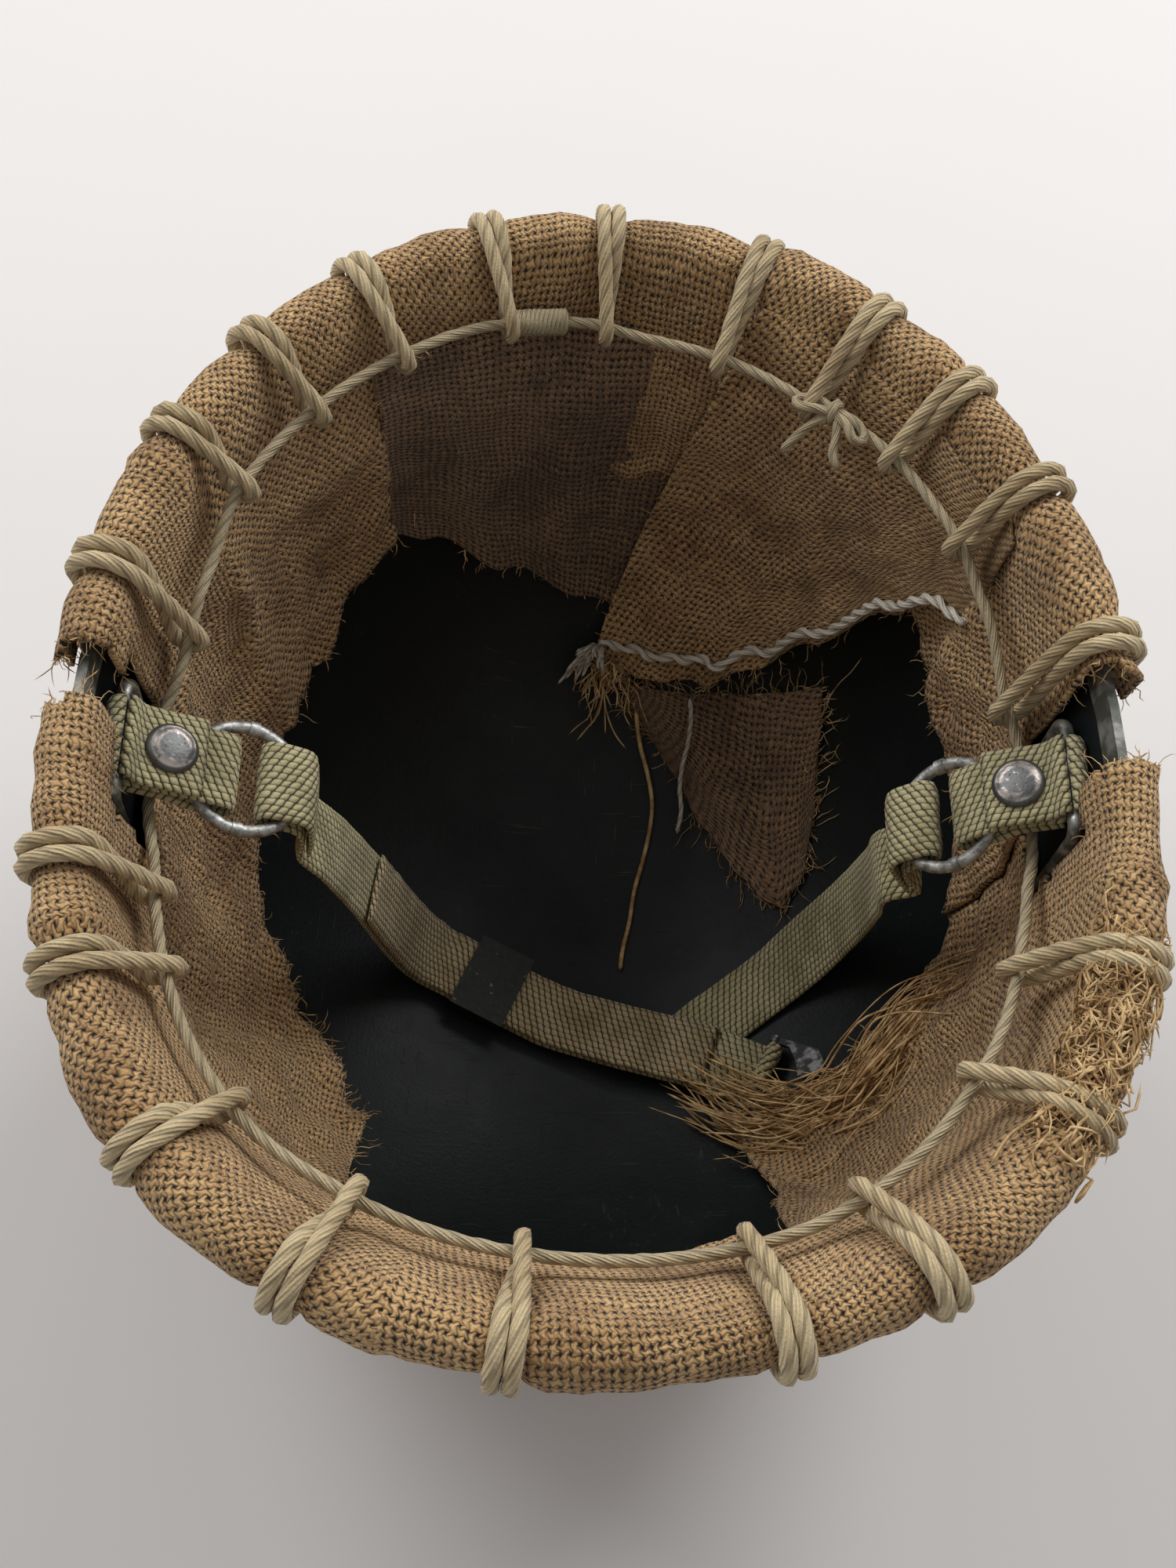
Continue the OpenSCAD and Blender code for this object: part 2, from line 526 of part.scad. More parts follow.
// The flap starts over the bar and comes down to the lower ply at the snap
flange_t = 0.7;
flap_mid = -ply_mid + web_t + flange_t + 0.4;
flap_turn = snap_at - cap_d / 2;
bore_r = stud_d / 2 + 1.1;
module tab_flap() {
    tab_frame() difference() {
        strip([[seat_gap, ply_mid], [1.6, ply_mid - 0.1], [flap_turn - 1, flap_mid + 0.4],
            [flap_turn - 0.2, flap_mid], [flap_l, flap_mid]]);
        translate([snap_at, 0, flap_mid - web_t]) cylinder(r = bore_r + 0.6 + seat_gap, h = 2 * web_t);
    }
}
// Snap cap over the flap, with its socket reaching down through the web
cap_low = flap_mid + web_t / 2 + 0.1;
stud_base = -ply_mid + web_t / 2;
stud_top = cap_low + 0.2 - stud_base;
module snap_cap() {
    socket_h = cap_low - stud_base - flange_t - 0.3;
    tab_frame() translate([snap_at, 0, cap_low])
        rotate_extrude() polygon(concat([[0, 0.6], [0, cap_h]],
            [for (g = [80:-20:0]) [cap_d / 2 - 1.6 + 1.6 * sin(90 - g), cap_h - 1.4 + 1.4 * sin(g)]],
            [[cap_d / 2, 0], [bore_r + 0.6, 0], [bore_r + 0.6, -socket_h], [bore_r, -socket_h],
                [bore_r, 0.6]]));
}
module snap_stud() {
    low = web_t + 0.1;
    r = stud_d / 2;
    tab_frame() translate([snap_at, 0, stud_base])
        rotate_extrude() polygon([[0, stud_top], [0, -low - washer_t], [3.2, -low - washer_t], [3.2, -low],
            [r - 0.9, -low], [r - 0.9, 0.1], [3.4, 0.1], [3.4, flange_t], [r - 0.5, flange_t],
            [r - 0.5, stud_top - 1.6], [r, stud_top - 1], [r, stud_top - 0.5], [r - 0.5, stud_top]]);
}

// Ring: its wire passes through the loop of the tab
function tab_pt(x, z) = let (c = cos(tab_slope), s = sin(tab_slope))
    [bar_x - (x * c + z * s), 0, bar_z - x * s + z * c];
wire_pt = tab_pt(wire_at[0], wire_at[1]);
function past_wire(slope, d) = wire_pt + d * [-cos(slope), 0, -sin(slope)];
module ring(slope) {
    translate(past_wire(slope, ring_d / 2)) rotate([0, -slope, 0]) {
        rotate_extrude() translate([ring_d / 2, 0]) circle(r = wire_r);
        for (e = [-1, 1]) rotate([0, 0, e * 90 + 4]) translate([ring_d / 2, 0, 0]) rotate([90, 0, 0])
            cylinder(r = wire_r + 0.35, h = 2.4, center = true);
    }
}
module left_tab() { color([0.44, 0.44, 0.3]) placed() mirror([1, 0, 0]) tab(); }
module right_tab() { color([0.44, 0.44, 0.3]) placed() tab(right_slope - tab_slope); }
module left_tab_flap() { color([0.47, 0.46, 0.32]) placed() mirror([1, 0, 0]) tab_flap(); }
module right_tab_flap() { color([0.47, 0.46, 0.32]) placed() tab_flap(); }
module left_snap_cap() { color([0.5, 0.5, 0.5]) placed() mirror([1, 0, 0]) snap_cap(); }
module right_snap_cap() { color([0.5, 0.5, 0.5]) placed() snap_cap(); }
module left_snap_stud() { color([0.4, 0.4, 0.4]) placed() mirror([1, 0, 0]) snap_stud(); }
module right_snap_stud() { color([0.4, 0.4, 0.4]) placed() snap_stud(); }
module left_ring() { color([0.55, 0.56, 0.56]) placed() mirror([1, 0, 0]) ring(tab_slope); }
module right_ring() { color([0.55, 0.56, 0.56]) placed() ring(right_slope); }

// --- straps ---
// A slack loop of web round the far wire of a ring: e leads out of the ring, n is square to the ring
function flip_x(p) = [-p[0], p[1], p[2]];
loop_r = wire_r + seat_gap + web_t / 2 + 0.05;
loop_in = 7;
strap_loop_pts = concat([[12.1, -14.4], [10.5, -8.5], [7.4, -3.8], [3.6, 0.7], [0, loop_r]],
    [for (g = [90:30:270]) [-loop_in, 0] + loop_r * [cos(g), sin(g)]],
    [[0, -loop_r], [3, -loop_r - 0.6], [6, -5.5], [8.5, -9.5], [10, -15]]);
function strap_loop(slope) = let (w = flip_x(past_wire(slope, ring_d)), e = [cos(slope), 0, -sin(slope)],
    n = [sin(slope), 0, cos(slope)]) [for (q = strap_loop_pts) w + q[0] * e + q[1] * n];
// A point on the floor of the bowl, its web lifted by h
function laid(x, y, h) = [x, y, bowl_z(x, y) + h + web_t / 2];
// The width of a web that lies on the bowl and crosses it towards v
function laid_side(p, v) = let (d = unit(v)) unit([d[0], d[1],
    (bowl_z(p[0] + 5 * d[0], p[1] + 5 * d[1]) - bowl_z(p[0] - 5 * d[0], p[1] - 5 * d[1])) / 10]);
// Each route point is [x, y, z or lift, side x, side y, 1 if it lies on the bowl]
function route_pts(r) = [for (q = r) q[5] == 1 ? laid(q[0], q[1], q[2]) : [q[0], q[1], crown_z + q[2]]];
function route_sides(r) = [for (q = r) q[5] == 1 ? laid_side(q, [q[3], q[4]]) : unit([q[3], q[4], 0])];

// Left strap after its loop, set by hand: it hangs, lies on the bowl and crosses the other strap
left_route = [[-66, 0, 108, 0.02, 1, 0], [-64.5, 2, 92, 0.06, 1, 0], [-62.5, 5, 72, 0.1, 1, 0],
    [-59.5, 8, 53, 0.16, 1, 0], [-55.5, 9.5, 35, 0.24, 1, 0], [-50, 10, 19, 0.34, 1, 0],
    [-41, 8, 3, 0.43, 1, 1], [-5, -8, 3, 0.43, 1, 1], [8, -12.5, 4.4, 0.4, 1, 1], [20, -16.5, 6, 0.38, 1, 1],
    [32, -20, 6.2, 0.42, 1, 1], [44, -24, 5.6, 0.5, 1, 1]];
hook_side = unit([0.56, 1, 0]);
hook_dir = unit([1, -0.56, 0]);
hook_tilt = 34;
hook_bar = laid(56.5, -30, 7.5);
hook_r = 1.6;
hook_loop_r = hook_r + seat_gap + web_t / 2;
function tilted(v) = v[0] * (cos(hook_tilt) * hook_dir + sin(hook_tilt) * [0, 0, 1])
    + v[1] * (cos(hook_tilt) * [0, 0, 1] - sin(hook_tilt) * hook_dir);
left_loop = strap_loop(tab_slope);
left_end = [for (g = [-90:30:90]) hook_bar + tilted(hook_loop_r * [cos(g), sin(g)])];
left_line = concat(left_loop, route_pts(left_route), left_end);
left_sides = concat([for (q = left_loop) [0, 1, 0]], route_sides(left_route), [for (q = left_end) hook_side]);
module left_strap() {
    color([0.42, 0.41, 0.28]) placed() run_skin(web_sections(left_line, web_w, web_t, left_sides));
}
// Second ply of the left strap, held to the first by the keeper
module left_strap_ply() {
    k0 = len(left_loop) + 3;
    k1 = len(left_loop) + len(left_route) - 1;
    lift = web_t + seat_gap + 0.05;
    p = [for (k = [k0:k1]) left_line[k] + lift * unit(cross(heading(left_line, k), left_sides[k]))];
    color([0.45, 0.42, 0.3]) placed()
        run_skin(web_sections(p, web_w - 0.6, web_t, [for (k = [k0:k1]) left_sides[k]]));
}

// Keeper: a flat sleeve of sheet metal round both plies
keeper_a = left_line[len(left_loop) + 6];
keeper_b = left_line[len(left_loop) + 7];
keeper_way = unit(keeper_b - keeper_a);
keeper_up = unit(cross(keeper_way, laid_side(keeper_a, [0.43, 1])));
keeper_mid = mix(keeper_a, keeper_b, 0.5) + (web_t + seat_gap) / 2 * keeper_up;
module keeper() {
    in_w = web_w + 1.6;
    in_h = 2 * web_t + 7 * seat_gap;
    a = atan2(keeper_way[1], keeper_way[0]);
    b = asin(keeper_way[2]);
    color([0.16, 0.16, 0.16]) placed()
        translate(keeper_mid) rotate([0, 0, a]) rotate([0, -b, 0]) rotate([90, 0, 90])
            linear_extrude(height = keeper_l, center = true) difference() {
                square([in_w + 2 * keeper_t, in_h + 2 * keeper_t], center = true);
                square([in_w, in_h], center = true);
            }
}

// Hook plate: stamped plate with a bar for the strap and an open slot with a nib
module hook_plate() {
    a = atan2(hook_dir[1], hook_dir[0]);
    color([0.3, 0.31, 0.32]) placed()
        translate(hook_bar) rotate([0, 0, a]) rotate([0, -hook_tilt, 0]) {
            rotate([90, 0, 0]) cylinder(r = hook_r, h = hook_w - 2, center = true);
            for (e = [-1, 1]) translate([0, e * (hook_w / 2 - 1), 0]) rotate([e * -90, 0, 0])
                cylinder(r = hook_r, h = 1.2);
            translate([0, 0, -hook_t / 2]) linear_extrude(height = hook_t) difference() {
                polygon([[0, hook_w / 2], [hook_l - 4, hook_w / 2], [hook_l, hook_w / 2 - 4],
                    [hook_l, -hook_w / 2 + 4], [hook_l - 4, -hook_w / 2], [0, -hook_w / 2]]);
                polygon([[-1, web_w / 2 + 0.6], [hook_loop_r + web_t + 1, web_w / 2 + 0.6],
                    [hook_loop_r + web_t + 5, web_w / 2 - 3], [hook_l - 6, 2.5], [hook_l + 1, 4],
                    [hook_l + 1, -1], [hook_l - 4, -2], [hook_l - 4, -web_w / 2], [-1, -web_w / 2 - 0.6]]);
            }
        }
}

right_route = [[77.5, 0, 108, -0.04, 1, 0], [79, 4, 88, -0.1, 1, 0], [79, 7, 68, -0.18, 1, 0],
    [76.5, 8, 49, -0.28, 1, 0], [71, 6, 33, -0.42, 1, 0], [63, 1.5, 3.2, -0.55, 1, 1],
    [53, -5, 1.4, -0.62, 1, 1], [41, -13.5, 1.2, -0.75, 1, 1], [31, -22.5, 1.2, -0.85, 1, 1]];
right_loop = [for (q = strap_loop(right_slope)) flip_x(q)];
right_fold_r = web_t / 2 + seat_gap;
module right_strap() {
    run = route_pts(right_route);
    side = route_sides(right_route);
    last = run[len(run) - 1];
    out = unit(last - run[len(run) - 2]);
    s_end = side[len(side) - 1];
    up = unit(cross(s_end, out));
    lift = up[2] > 0 ? up : -up;
    fold = [for (g = [-60:60:120]) last + right_fold_r * (cos(g) * out + (1 + sin(g)) * lift)];
    back = [last - 6 * out + 2 * right_fold_r * lift];
    p = concat(right_loop, run, fold, back);
    s = concat([for (q = right_loop) [0, 1, 0]], side, [for (q = fold) s_end], [s_end]);
    color([0.42, 0.41, 0.27]) placed() run_skin(web_sections(p, web_w, web_t, s));
}

shell();
rim_strip();
left_bail();
right_bail();
cover();
dark_pleat();
side_flap();
hanging_flap();
net();
net_edge_loops();
drawstring();
left_tab();
left_tab_flap();
left_snap_cap();
left_snap_stud();
left_ring();
left_strap();
left_strap_ply();
keeper();
hook_plate();
right_tab();
right_tab_flap();
right_snap_cap();
right_snap_stud();
right_ring();
right_strap();
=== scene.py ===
import math
import random

import bmesh
import bpy
from mathutils import Matrix, Vector, geometry, noise


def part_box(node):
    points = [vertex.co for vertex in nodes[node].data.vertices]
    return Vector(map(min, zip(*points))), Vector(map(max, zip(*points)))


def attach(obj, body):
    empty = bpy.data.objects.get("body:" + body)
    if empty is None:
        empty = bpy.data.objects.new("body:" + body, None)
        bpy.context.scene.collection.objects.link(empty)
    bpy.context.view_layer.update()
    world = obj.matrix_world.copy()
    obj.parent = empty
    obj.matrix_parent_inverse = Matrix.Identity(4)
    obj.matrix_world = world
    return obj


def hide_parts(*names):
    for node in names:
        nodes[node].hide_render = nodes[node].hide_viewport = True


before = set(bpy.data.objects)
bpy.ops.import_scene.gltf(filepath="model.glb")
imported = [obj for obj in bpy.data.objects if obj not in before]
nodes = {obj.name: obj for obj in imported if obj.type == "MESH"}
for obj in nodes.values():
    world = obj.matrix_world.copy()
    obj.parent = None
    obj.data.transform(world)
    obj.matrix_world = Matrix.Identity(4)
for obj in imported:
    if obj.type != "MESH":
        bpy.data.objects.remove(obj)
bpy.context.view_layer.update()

# Camera, floor and light
# The helmet stands upside down on a pale floor and is looked into from above its rear edge,
# under two large soft lamps behind it, to the left and right, and an even pale surround.
camera_at = Vector((-0.0253, -0.1967, 0.5364))
look_down, look_right, head_tilt = (math.radians(d) for d in (63.4, 6.9, 8.5))
lens_mm = 41.4

ahead = Vector((math.sin(look_right) * math.cos(look_down),
                math.cos(look_right) * math.cos(look_down), -math.sin(look_down)))
across = Vector((math.cos(look_right), -math.sin(look_right), 0))
upward = across.cross(ahead)
right_side = across * math.cos(head_tilt) + upward * math.sin(head_tilt)
top_side = upward * math.cos(head_tilt) - across * math.sin(head_tilt)
camera = bpy.data.objects.new("camera", bpy.data.cameras.new("camera"))
bpy.context.scene.collection.objects.link(camera)
camera.data.lens = lens_mm
camera.matrix_world = (Matrix.Translation(camera_at)
                       @ Matrix((right_side, top_side, -ahead)).transposed().to_4x4())
bpy.context.scene.camera = camera
bpy.context.scene.view_settings.view_transform = "Standard"


class Tone:
    """One socket of a finish. It is added, multiplied and compared like a number."""

    def __init__(self, tree, socket):
        self.tree, self.socket = tree, socket

    def node(self, kind, settings, inputs, out=0):
        made = self.tree.nodes.new(kind)
        for name, value in settings.items():
            setattr(made, name, value)
        for name, value in inputs.items():
            if isinstance(value, Tone):
                self.tree.links.new(value.socket, made.inputs[name])
            else:
                made.inputs[name].default_value = value
        return Tone(self.tree, made.outputs[out])

    def maths(self, operation, a, b=0.0):
        return self.node("ShaderNodeMath", {"operation": operation}, {0: a, 1: b})

    def __add__(self, b):
        return self.maths("ADD", self, b)

    __radd__ = __add__

    def __sub__(self, b):
        return self.maths("SUBTRACT", self, b)

    def __rsub__(self, b):
        return self.maths("SUBTRACT", b, self)

    def __mul__(self, b):
        return self.maths("MULTIPLY", self, b)

    __rmul__ = __mul__

    def __truediv__(self, b):
        return self.maths("DIVIDE", self, b)

    def __pow__(self, b):
        return self.maths("POWER", self, b)

    def cos(self):
        return self.maths("COSINE", self)

    def sin(self):
        return self.maths("SINE", self)

    def floor(self):
        return self.maths("FLOOR", self)

    def fract(self):
        return self.maths("FRACT", self)

    def higher(self, b):
        return self.maths("MAXIMUM", self, b)

    def between(self, low, high):
        """0 below low, 1 above high, and smooth between them."""
        return self.node("ShaderNodeMapRange", {"interpolation_type": "SMOOTHSTEP"},
                         {"Value": self, "From Min": low, "From Max": high})

    def part(self, k):
        return self.node("ShaderNodeSeparateXYZ", {}, {0: self}, k)

    def stretched(self, x, y, z):
        """Coordinates squeezed or stretched along the three directions."""
        return self.node("ShaderNodeVectorMath", {"operation": "MULTIPLY"}, {0: self, 1: (x, y, z)})

    def cloud(self, grain, detail=3.0, rough=0.55):
        """Soft irregular spots about one grain across, from 0 to 1."""
        return self.node("ShaderNodeTexNoise", {}, {"Vector": self, "Scale": 1 / grain,
                                                    "Detail": detail, "Roughness": rough})

    def specks(self):
        """One random number for each whole number of the coordinates."""
        return self.node("ShaderNodeTexWhiteNoise", {"noise_dimensions": "2D"}, {"Vector": self})

    def colours(self, a, b):
        """The colour a where this is 0 and b where it is 1."""
        return self.node("ShaderNodeMix", {"data_type": "RGBA"}, {0: self, 6: a, 7: b}, 2)

    def shaded(self, colour):
        """A colour made darker by this."""
        return self.node("ShaderNodeMix", {"data_type": "RGBA"}, {0: self, 6: (0, 0, 0, 1), 7: colour}, 2)


def paint(red, green, blue):
    """A colour from its 0 to 255 screen values."""
    return tuple((c / 255) ** 2.2 for c in (red, green, blue)) + (1,)


class Finish:
    """A material, its shader and the piece's own coordinates in millimetres."""

    def __init__(self, name, **plain):
        self.material = bpy.data.materials.new(name)
        self.material.use_nodes = True
        self.tree = self.material.node_tree
        self.shader = self.tree.nodes["Principled BSDF"]
        for socket, value in plain.items():
            self.shader.inputs[socket.replace("_", " ")].default_value = value
        here = Tone(self.tree, self.tree.nodes.new("ShaderNodeTexCoord").outputs["Object"])
        self.place = here.stretched(1000, 1000, 1000)

    def map(self, name):
        made = self.tree.nodes.new("ShaderNodeUVMap")
        made.uv_map = name
        return Tone(self.tree, made.outputs[0])

    def set(self, **tones):
        for socket, tone in tones.items():
            self.tree.links.new(tone.socket, self.shader.inputs[socket.replace("_", " ")])

    def relief(self, height, depth):
        """Bumps of that depth in millimetres."""
        self.set(Normal=height.node("ShaderNodeBump", {}, {"Height": height, "Strength": 1.0,
                                                           "Distance": depth / 1000}))

    def on(self, piece):
        """Puts this finish on a piece, a carried-over one or a new one."""
        if piece.material_slots:
            for slot in piece.material_slots:
                slot.material = self.material
        else:
            piece.data.materials.append(self.material)


floor_colour = paint(236, 233, 231)
floor_size = 8.0
floor_mesh = bmesh.new()
bmesh.ops.create_grid(floor_mesh, x_segments=1, y_segments=1, size=floor_size / 2)
floor = bpy.data.objects.new("floor", bpy.data.meshes.new("floor"))
floor_mesh.to_mesh(floor.data)
floor_mesh.free()
bpy.context.scene.collection.objects.link(floor)
floor_finish = Finish("pale_floor", Roughness=0.9)
floor_finish.set(Base_Color=floor_finish.place.cloud(400).colours(floor_colour, paint(228, 225, 223)))
floor_finish.on(floor)

world = bpy.data.worlds.new("surround")
bpy.context.scene.world = world
world.use_nodes = True
world.node_tree.nodes["Background"].inputs["Color"].default_value = (0.98, 0.98, 1.0, 1)
world.node_tree.nodes["Background"].inputs["Strength"].default_value = 0.33


def lamp(name, place, aim, size, watts):
    light = bpy.data.lights.new(name, "AREA")
    light.size, light.energy = size, watts
    piece = bpy.data.objects.new(name, light)
    piece.matrix_world = (Matrix.Translation(place)
                          @ (Vector(place) - Vector(aim)).to_track_quat("Z", "Y").to_matrix().to_4x4())
    bpy.context.scene.collection.objects.link(piece)


lamp("soft_left", (-0.95, 0.8, 1.15), (0, 0, 0.12), 0.9, 12)
lamp("soft_right", (0.8, 0.95, 1.15), (0, 0, 0.12), 0.9, 15)

# Steel shell
# A bowl pressed from one sheet of 1.2 mm steel with a flared rim and a longer visor,
# painted very dark green inside and out, with faint scratches and dust inside.
half_w, front_l, rear_l, rear_fuller = 113.5, 132.0, 119.0, 0.05
depth, steel_t = 176.0, 1.2
roundness, wall_start, dome_share = 2.25, 0.64, 0.74
flare_side, flare_front, flare_rear, flare_start, flare_power = 3.5, 15.0, 14.5, 0.84, 1.6
cut_front, cut_rear = 6.0, 2.0
meridian = 241.0
mid_y = (rear_l + flare_rear - front_l - flare_front) / 2
crown_z = 5.884
mm = 0.001


def mix(a, b, t):
    return a + (b - a) * t


def clamp(x):
    return min(1.0, max(0.0, x))


def steel(s, a):
    """A point in the middle of the steel: s is 0 at the crown and 1 at the rim, a in degrees."""
    c, n = math.cos(math.radians(a)), math.sin(math.radians(a))
    length = front_l if n > 0 else rear_l
    fuller = 1 + rear_fuller * (2 * c * min(0, n)) ** 2
    if s < dome_share:
        t = math.pi / 2 * max(0, s) / dome_share
        out = math.sin(t) ** (2 / roundness)
        high = wall_start * (1 - max(0, math.cos(t)) ** (2 / roundness))
    else:
        out, high = 1, mix(wall_start, 1, (s - dome_share) / (1 - dome_share))
    flare = flare_side * c * c + flare_front * max(0, n) ** 2 + flare_rear * max(0, -n) ** 2
    lip = flare * clamp((s - flare_start) / (1 - flare_start)) ** flare_power
    cut = cut_front * max(0, n) ** 2 + cut_rear * max(0, -n) ** 2
    return Vector(((half_w * fuller * out + lip) * c, mid_y + (length * fuller * out + lip) * n,
                   crown_z + depth * high - cut * high ** 3))


def up_steel(s, a):
    return (steel(min(1, s + 0.004), a) - steel(max(0, s - 0.004), a)).normalized()


def out_of_steel(s, a):
    if s < 0.02:
        return Vector((0, 0, -1))
    return (steel(s, a + 0.5) - steel(s, a - 0.5)).cross(up_steel(s, a)).normalized()


def off_steel(s, a, c):
    return steel(min(1, s), a) + c * out_of_steel(min(1, s), a)


def over_rim(t, a, c, lift):
    """Round the rim: t is 0 outside, 90 on top and 180 inside."""
    t = math.radians(t)
    return (steel(1, a) + c * math.cos(t) * out_of_steel(1, a)
            + (lift + c * math.sin(t)) * up_steel(1, a))


def bowl_height(x, y):
    """Height of the bare inner face over a point of the plan."""
    y -= mid_y
    u, v = x / (half_w - steel_t / 2), y / ((front_l if y > 0 else rear_l) - steel_t / 2)
    a = math.atan2(v, u)
    rho = min(0.995, math.hypot(u, v) / (1 + rear_fuller * (2 * math.cos(a) * min(0, math.sin(a))) ** 2))
    high = wall_start * (1 - (1 - rho ** roundness) ** (1 / roundness))
    b = math.sin(math.atan2(y, x))
    cut = cut_front * max(0, b) ** 2 + cut_rear * max(0, -b) ** 2
    return crown_z + steel_t / 2 + (depth - steel_t / 2) * high - cut * high ** 3


shell_finish = Finish("dark_paint", Specular_IOR_Level=0.32)
where = shell_finish.place
rubbed = where.cloud(42, 4).between(0.5, 0.72)
scratch = where.stretched(0.03, 0.9, 0.25).cloud(1.0, 2).between(0.66, 0.7) \
    .higher(where.stretched(0.8, 0.04, 0.2).cloud(1.1, 2).between(0.67, 0.71))
dust = where.cloud(1.6, 2).between(0.62, 0.74) * where.cloud(30).between(0.45, 0.7)
shell_colour = (rubbed * 0.6).colours(paint(26, 31, 32), paint(38, 43, 42))
shell_colour = (scratch * rubbed * 0.45 + dust * 0.16).colours(shell_colour, paint(104, 106, 98))
shell_finish.set(Base_Color=shell_colour, Roughness=0.42 + 0.2 * where.cloud(16) + 0.12 * dust)
shell_finish.relief(where.cloud(1.1, 4) + 0.6 * where.cloud(5) - 0.3 * scratch, 0.12)
shell_cols, shell_rows = 120, 70


def add_grid(bm, cols, rows, place, flat):
    """Adds a grid of cells to a mesh. place(i, j) gives a corner in millimetres and
    flat(i, j, column) where it lies on the flat cloth, in millimetres."""
    uv = bm.loops.layers.uv.get("weave") or bm.loops.layers.uv.new("weave")
    made = bmesh.ops.create_grid(bm, x_segments=cols, y_segments=rows, size=0.5)["verts"]
    at = {}
    for v in made:
        at[v] = round((v.co.x + 0.5) * cols), round((v.co.y + 0.5) * rows)
    for f in {f for v in made for f in v.link_faces}:
        column = min(at[loop.vert][0] for loop in f.loops)
        for loop in f.loops:
            loop[uv].uv = flat(*at[loop.vert], column)
    for v in made:
        v.co = place(*at[v]) * mm
    return at


def close_up(bm, near=0.01):
    """Joins the edges of grids that meet and turns all faces outwards."""
    bmesh.ops.remove_doubles(bm, verts=bm.verts, dist=near * mm)
    bmesh.ops.recalc_face_normals(bm, faces=bm.faces)


def new_piece(name, bm, body="helmet", replaces=()):
    """Turns a finished mesh into a piece that rides on a body."""
    piece = bpy.data.objects.new(name, bpy.data.meshes.new(name))
    bm.to_mesh(piece.data)
    bm.free()
    piece.data.polygons.foreach_set("use_smooth", [True] * len(piece.data.polygons))
    bpy.context.scene.collection.objects.link(piece)
    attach(piece, body)
    if replaces:
        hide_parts(*replaces)
    return piece


def shell_place(i, j):
    """Out from the crown along the outer face, round the edge and back along the inner face."""
    a, t = 360 * i / shell_cols, j / shell_rows
    return off_steel(1 - abs(1 - 2 * t), a, steel_t / 2 * clamp(abs(1 - 2 * t) * 60) * (1 if t < 0.5 else -1))


shell_mesh = bmesh.new()
add_grid(shell_mesh, shell_cols, shell_rows, shell_place, lambda i, j, column: (i, j))
close_up(shell_mesh)
shell = new_piece("shell_bowl", shell_mesh, replaces=["shell"])
shell_finish.on(shell)

# Rim strip and bails
# A thin folded strip of grey steel covers the raw edge. Two hoops of 4 mm rod are welded inside
# the side walls. Paint is worn off both, so they show dull grey metal with brown spots.
strip_finish = Finish("worn_strip", Metallic=0.55)
where = strip_finish.place
strip_worn = where.cloud(7, 4).between(0.42, 0.62)
strip_finish.set(Base_Color=(0.5 * where.cloud(2.4, 3).between(0.6, 0.75)).colours(
    strip_worn.colours(paint(92, 94, 88), paint(150, 150, 144)), paint(104, 78, 52)),
    Roughness=0.42 + 0.3 * where.cloud(4))
strip_finish.relief(where.cloud(1.4), 0.1)
strip_finish.on(nodes["rim_strip"])

bail_finish = Finish("worn_rod", Metallic=0.75)
where = bail_finish.place
bail_bright = where.cloud(5, 4).between(0.4, 0.66)
bail_finish.set(Base_Color=bail_bright.colours(paint(84, 84, 78), paint(176, 176, 170)),
                Roughness=0.5 - 0.2 * bail_bright)
bail_finish.relief(where.cloud(1.0), 0.08)
for side in ("left_bail", "right_bail"):
    bail_finish.on(nodes[side])

# Cloth cover
# One piece of coarse jute sacking, pulled over the outside, rolled over the rim and tucked in.
# It is eased round the dome in pleats, torn open at both bails and left with a raw inner edge.
strip_t, steel_gap, cloth_gap, cloth_t = 0.5, 0.1, 1.1, 1.6
cover_off = steel_t / 2 + strip_t + steel_gap + cloth_gap + cloth_t / 2
dome_off = steel_t / 2 + cloth_gap + cloth_t / 2
net_pitch, cord_d = 44 / meridian, 4.4
roll_lift, roll_room = 0.9, 0.4
loop_at = [11, 30, 44, 57, 72, 90, 104, 120, 134, 148, 165, 197, 208, 226, 243, 262, 286, 300, 320, 336]
gore_edges = [8, 70, 103, 152, 204, 251, 301, 344]
outer_rows, rim_rows, inner_rows, cover_cols, rim_arc = 44, 10, 34, 252, 22.0
window_half, window_low, window_top = 19.0, 135.0, 173.0
rim_window, rim_window_y = {1: 12.0, -1: 7.0}, 6.0
# How far the cloth swells out in a mesh of the net, between two edge loops, and in a slow wave
mesh_swell, loop_swell, wave_swell = 2.6, 2.9, 1.5
# Where the raw inner edge ends, by angle, as a share of the way from crown to rim
raw_edge = [(0, 0.6), (8, 0.64), (16, 0.665), (28, 0.71), (36, 0.745), (60, 0.72), (90, 0.7), (116, 0.71),
            (122, 0.67), (129, 0.63), (139, 0.56), (148, 0.545), (155, 0.52), (168, 0.49), (176, 0.46),
            (187, 0.41), (204, 0.335), (220, 0.34), (236, 0.55), (250, 0.72), (287, 0.74), (300, 0.66),
            (308, 0.46), (316, 0.3), (325, 0.27), (333, 0.36), (341, 0.42), (352, 0.53)]
# How far the loose cloth bags in from the wall, by angle
bagging = [(0, 3), (90, 3), (150, 3), (200, 5), (218, 8), (236, 8), (262, 7), (292, 8), (308, 8), (322, 5),
           (340, 4)]


def read_marks(marks, a):
    """A value read between listed marks, closed round the rim."""
    a %= 360
    k = max(i for i, m in enumerate(marks) if m[0] <= a)
    low, high = marks[k], marks[k + 1] if k + 1 < len(marks) else (marks[0][0] + 360, marks[0][1])
    t = (a - low[0]) / (high[0] - low[0])
    return mix(low[1], high[1], t * t * (3 - 2 * t))


def rumple(p, grain, seed=0.0):
    """A smooth irregular number from -1 to 1 at a place in millimetres."""
    return noise.noise(p / grain + Vector((seed, 2 * seed, -seed)))


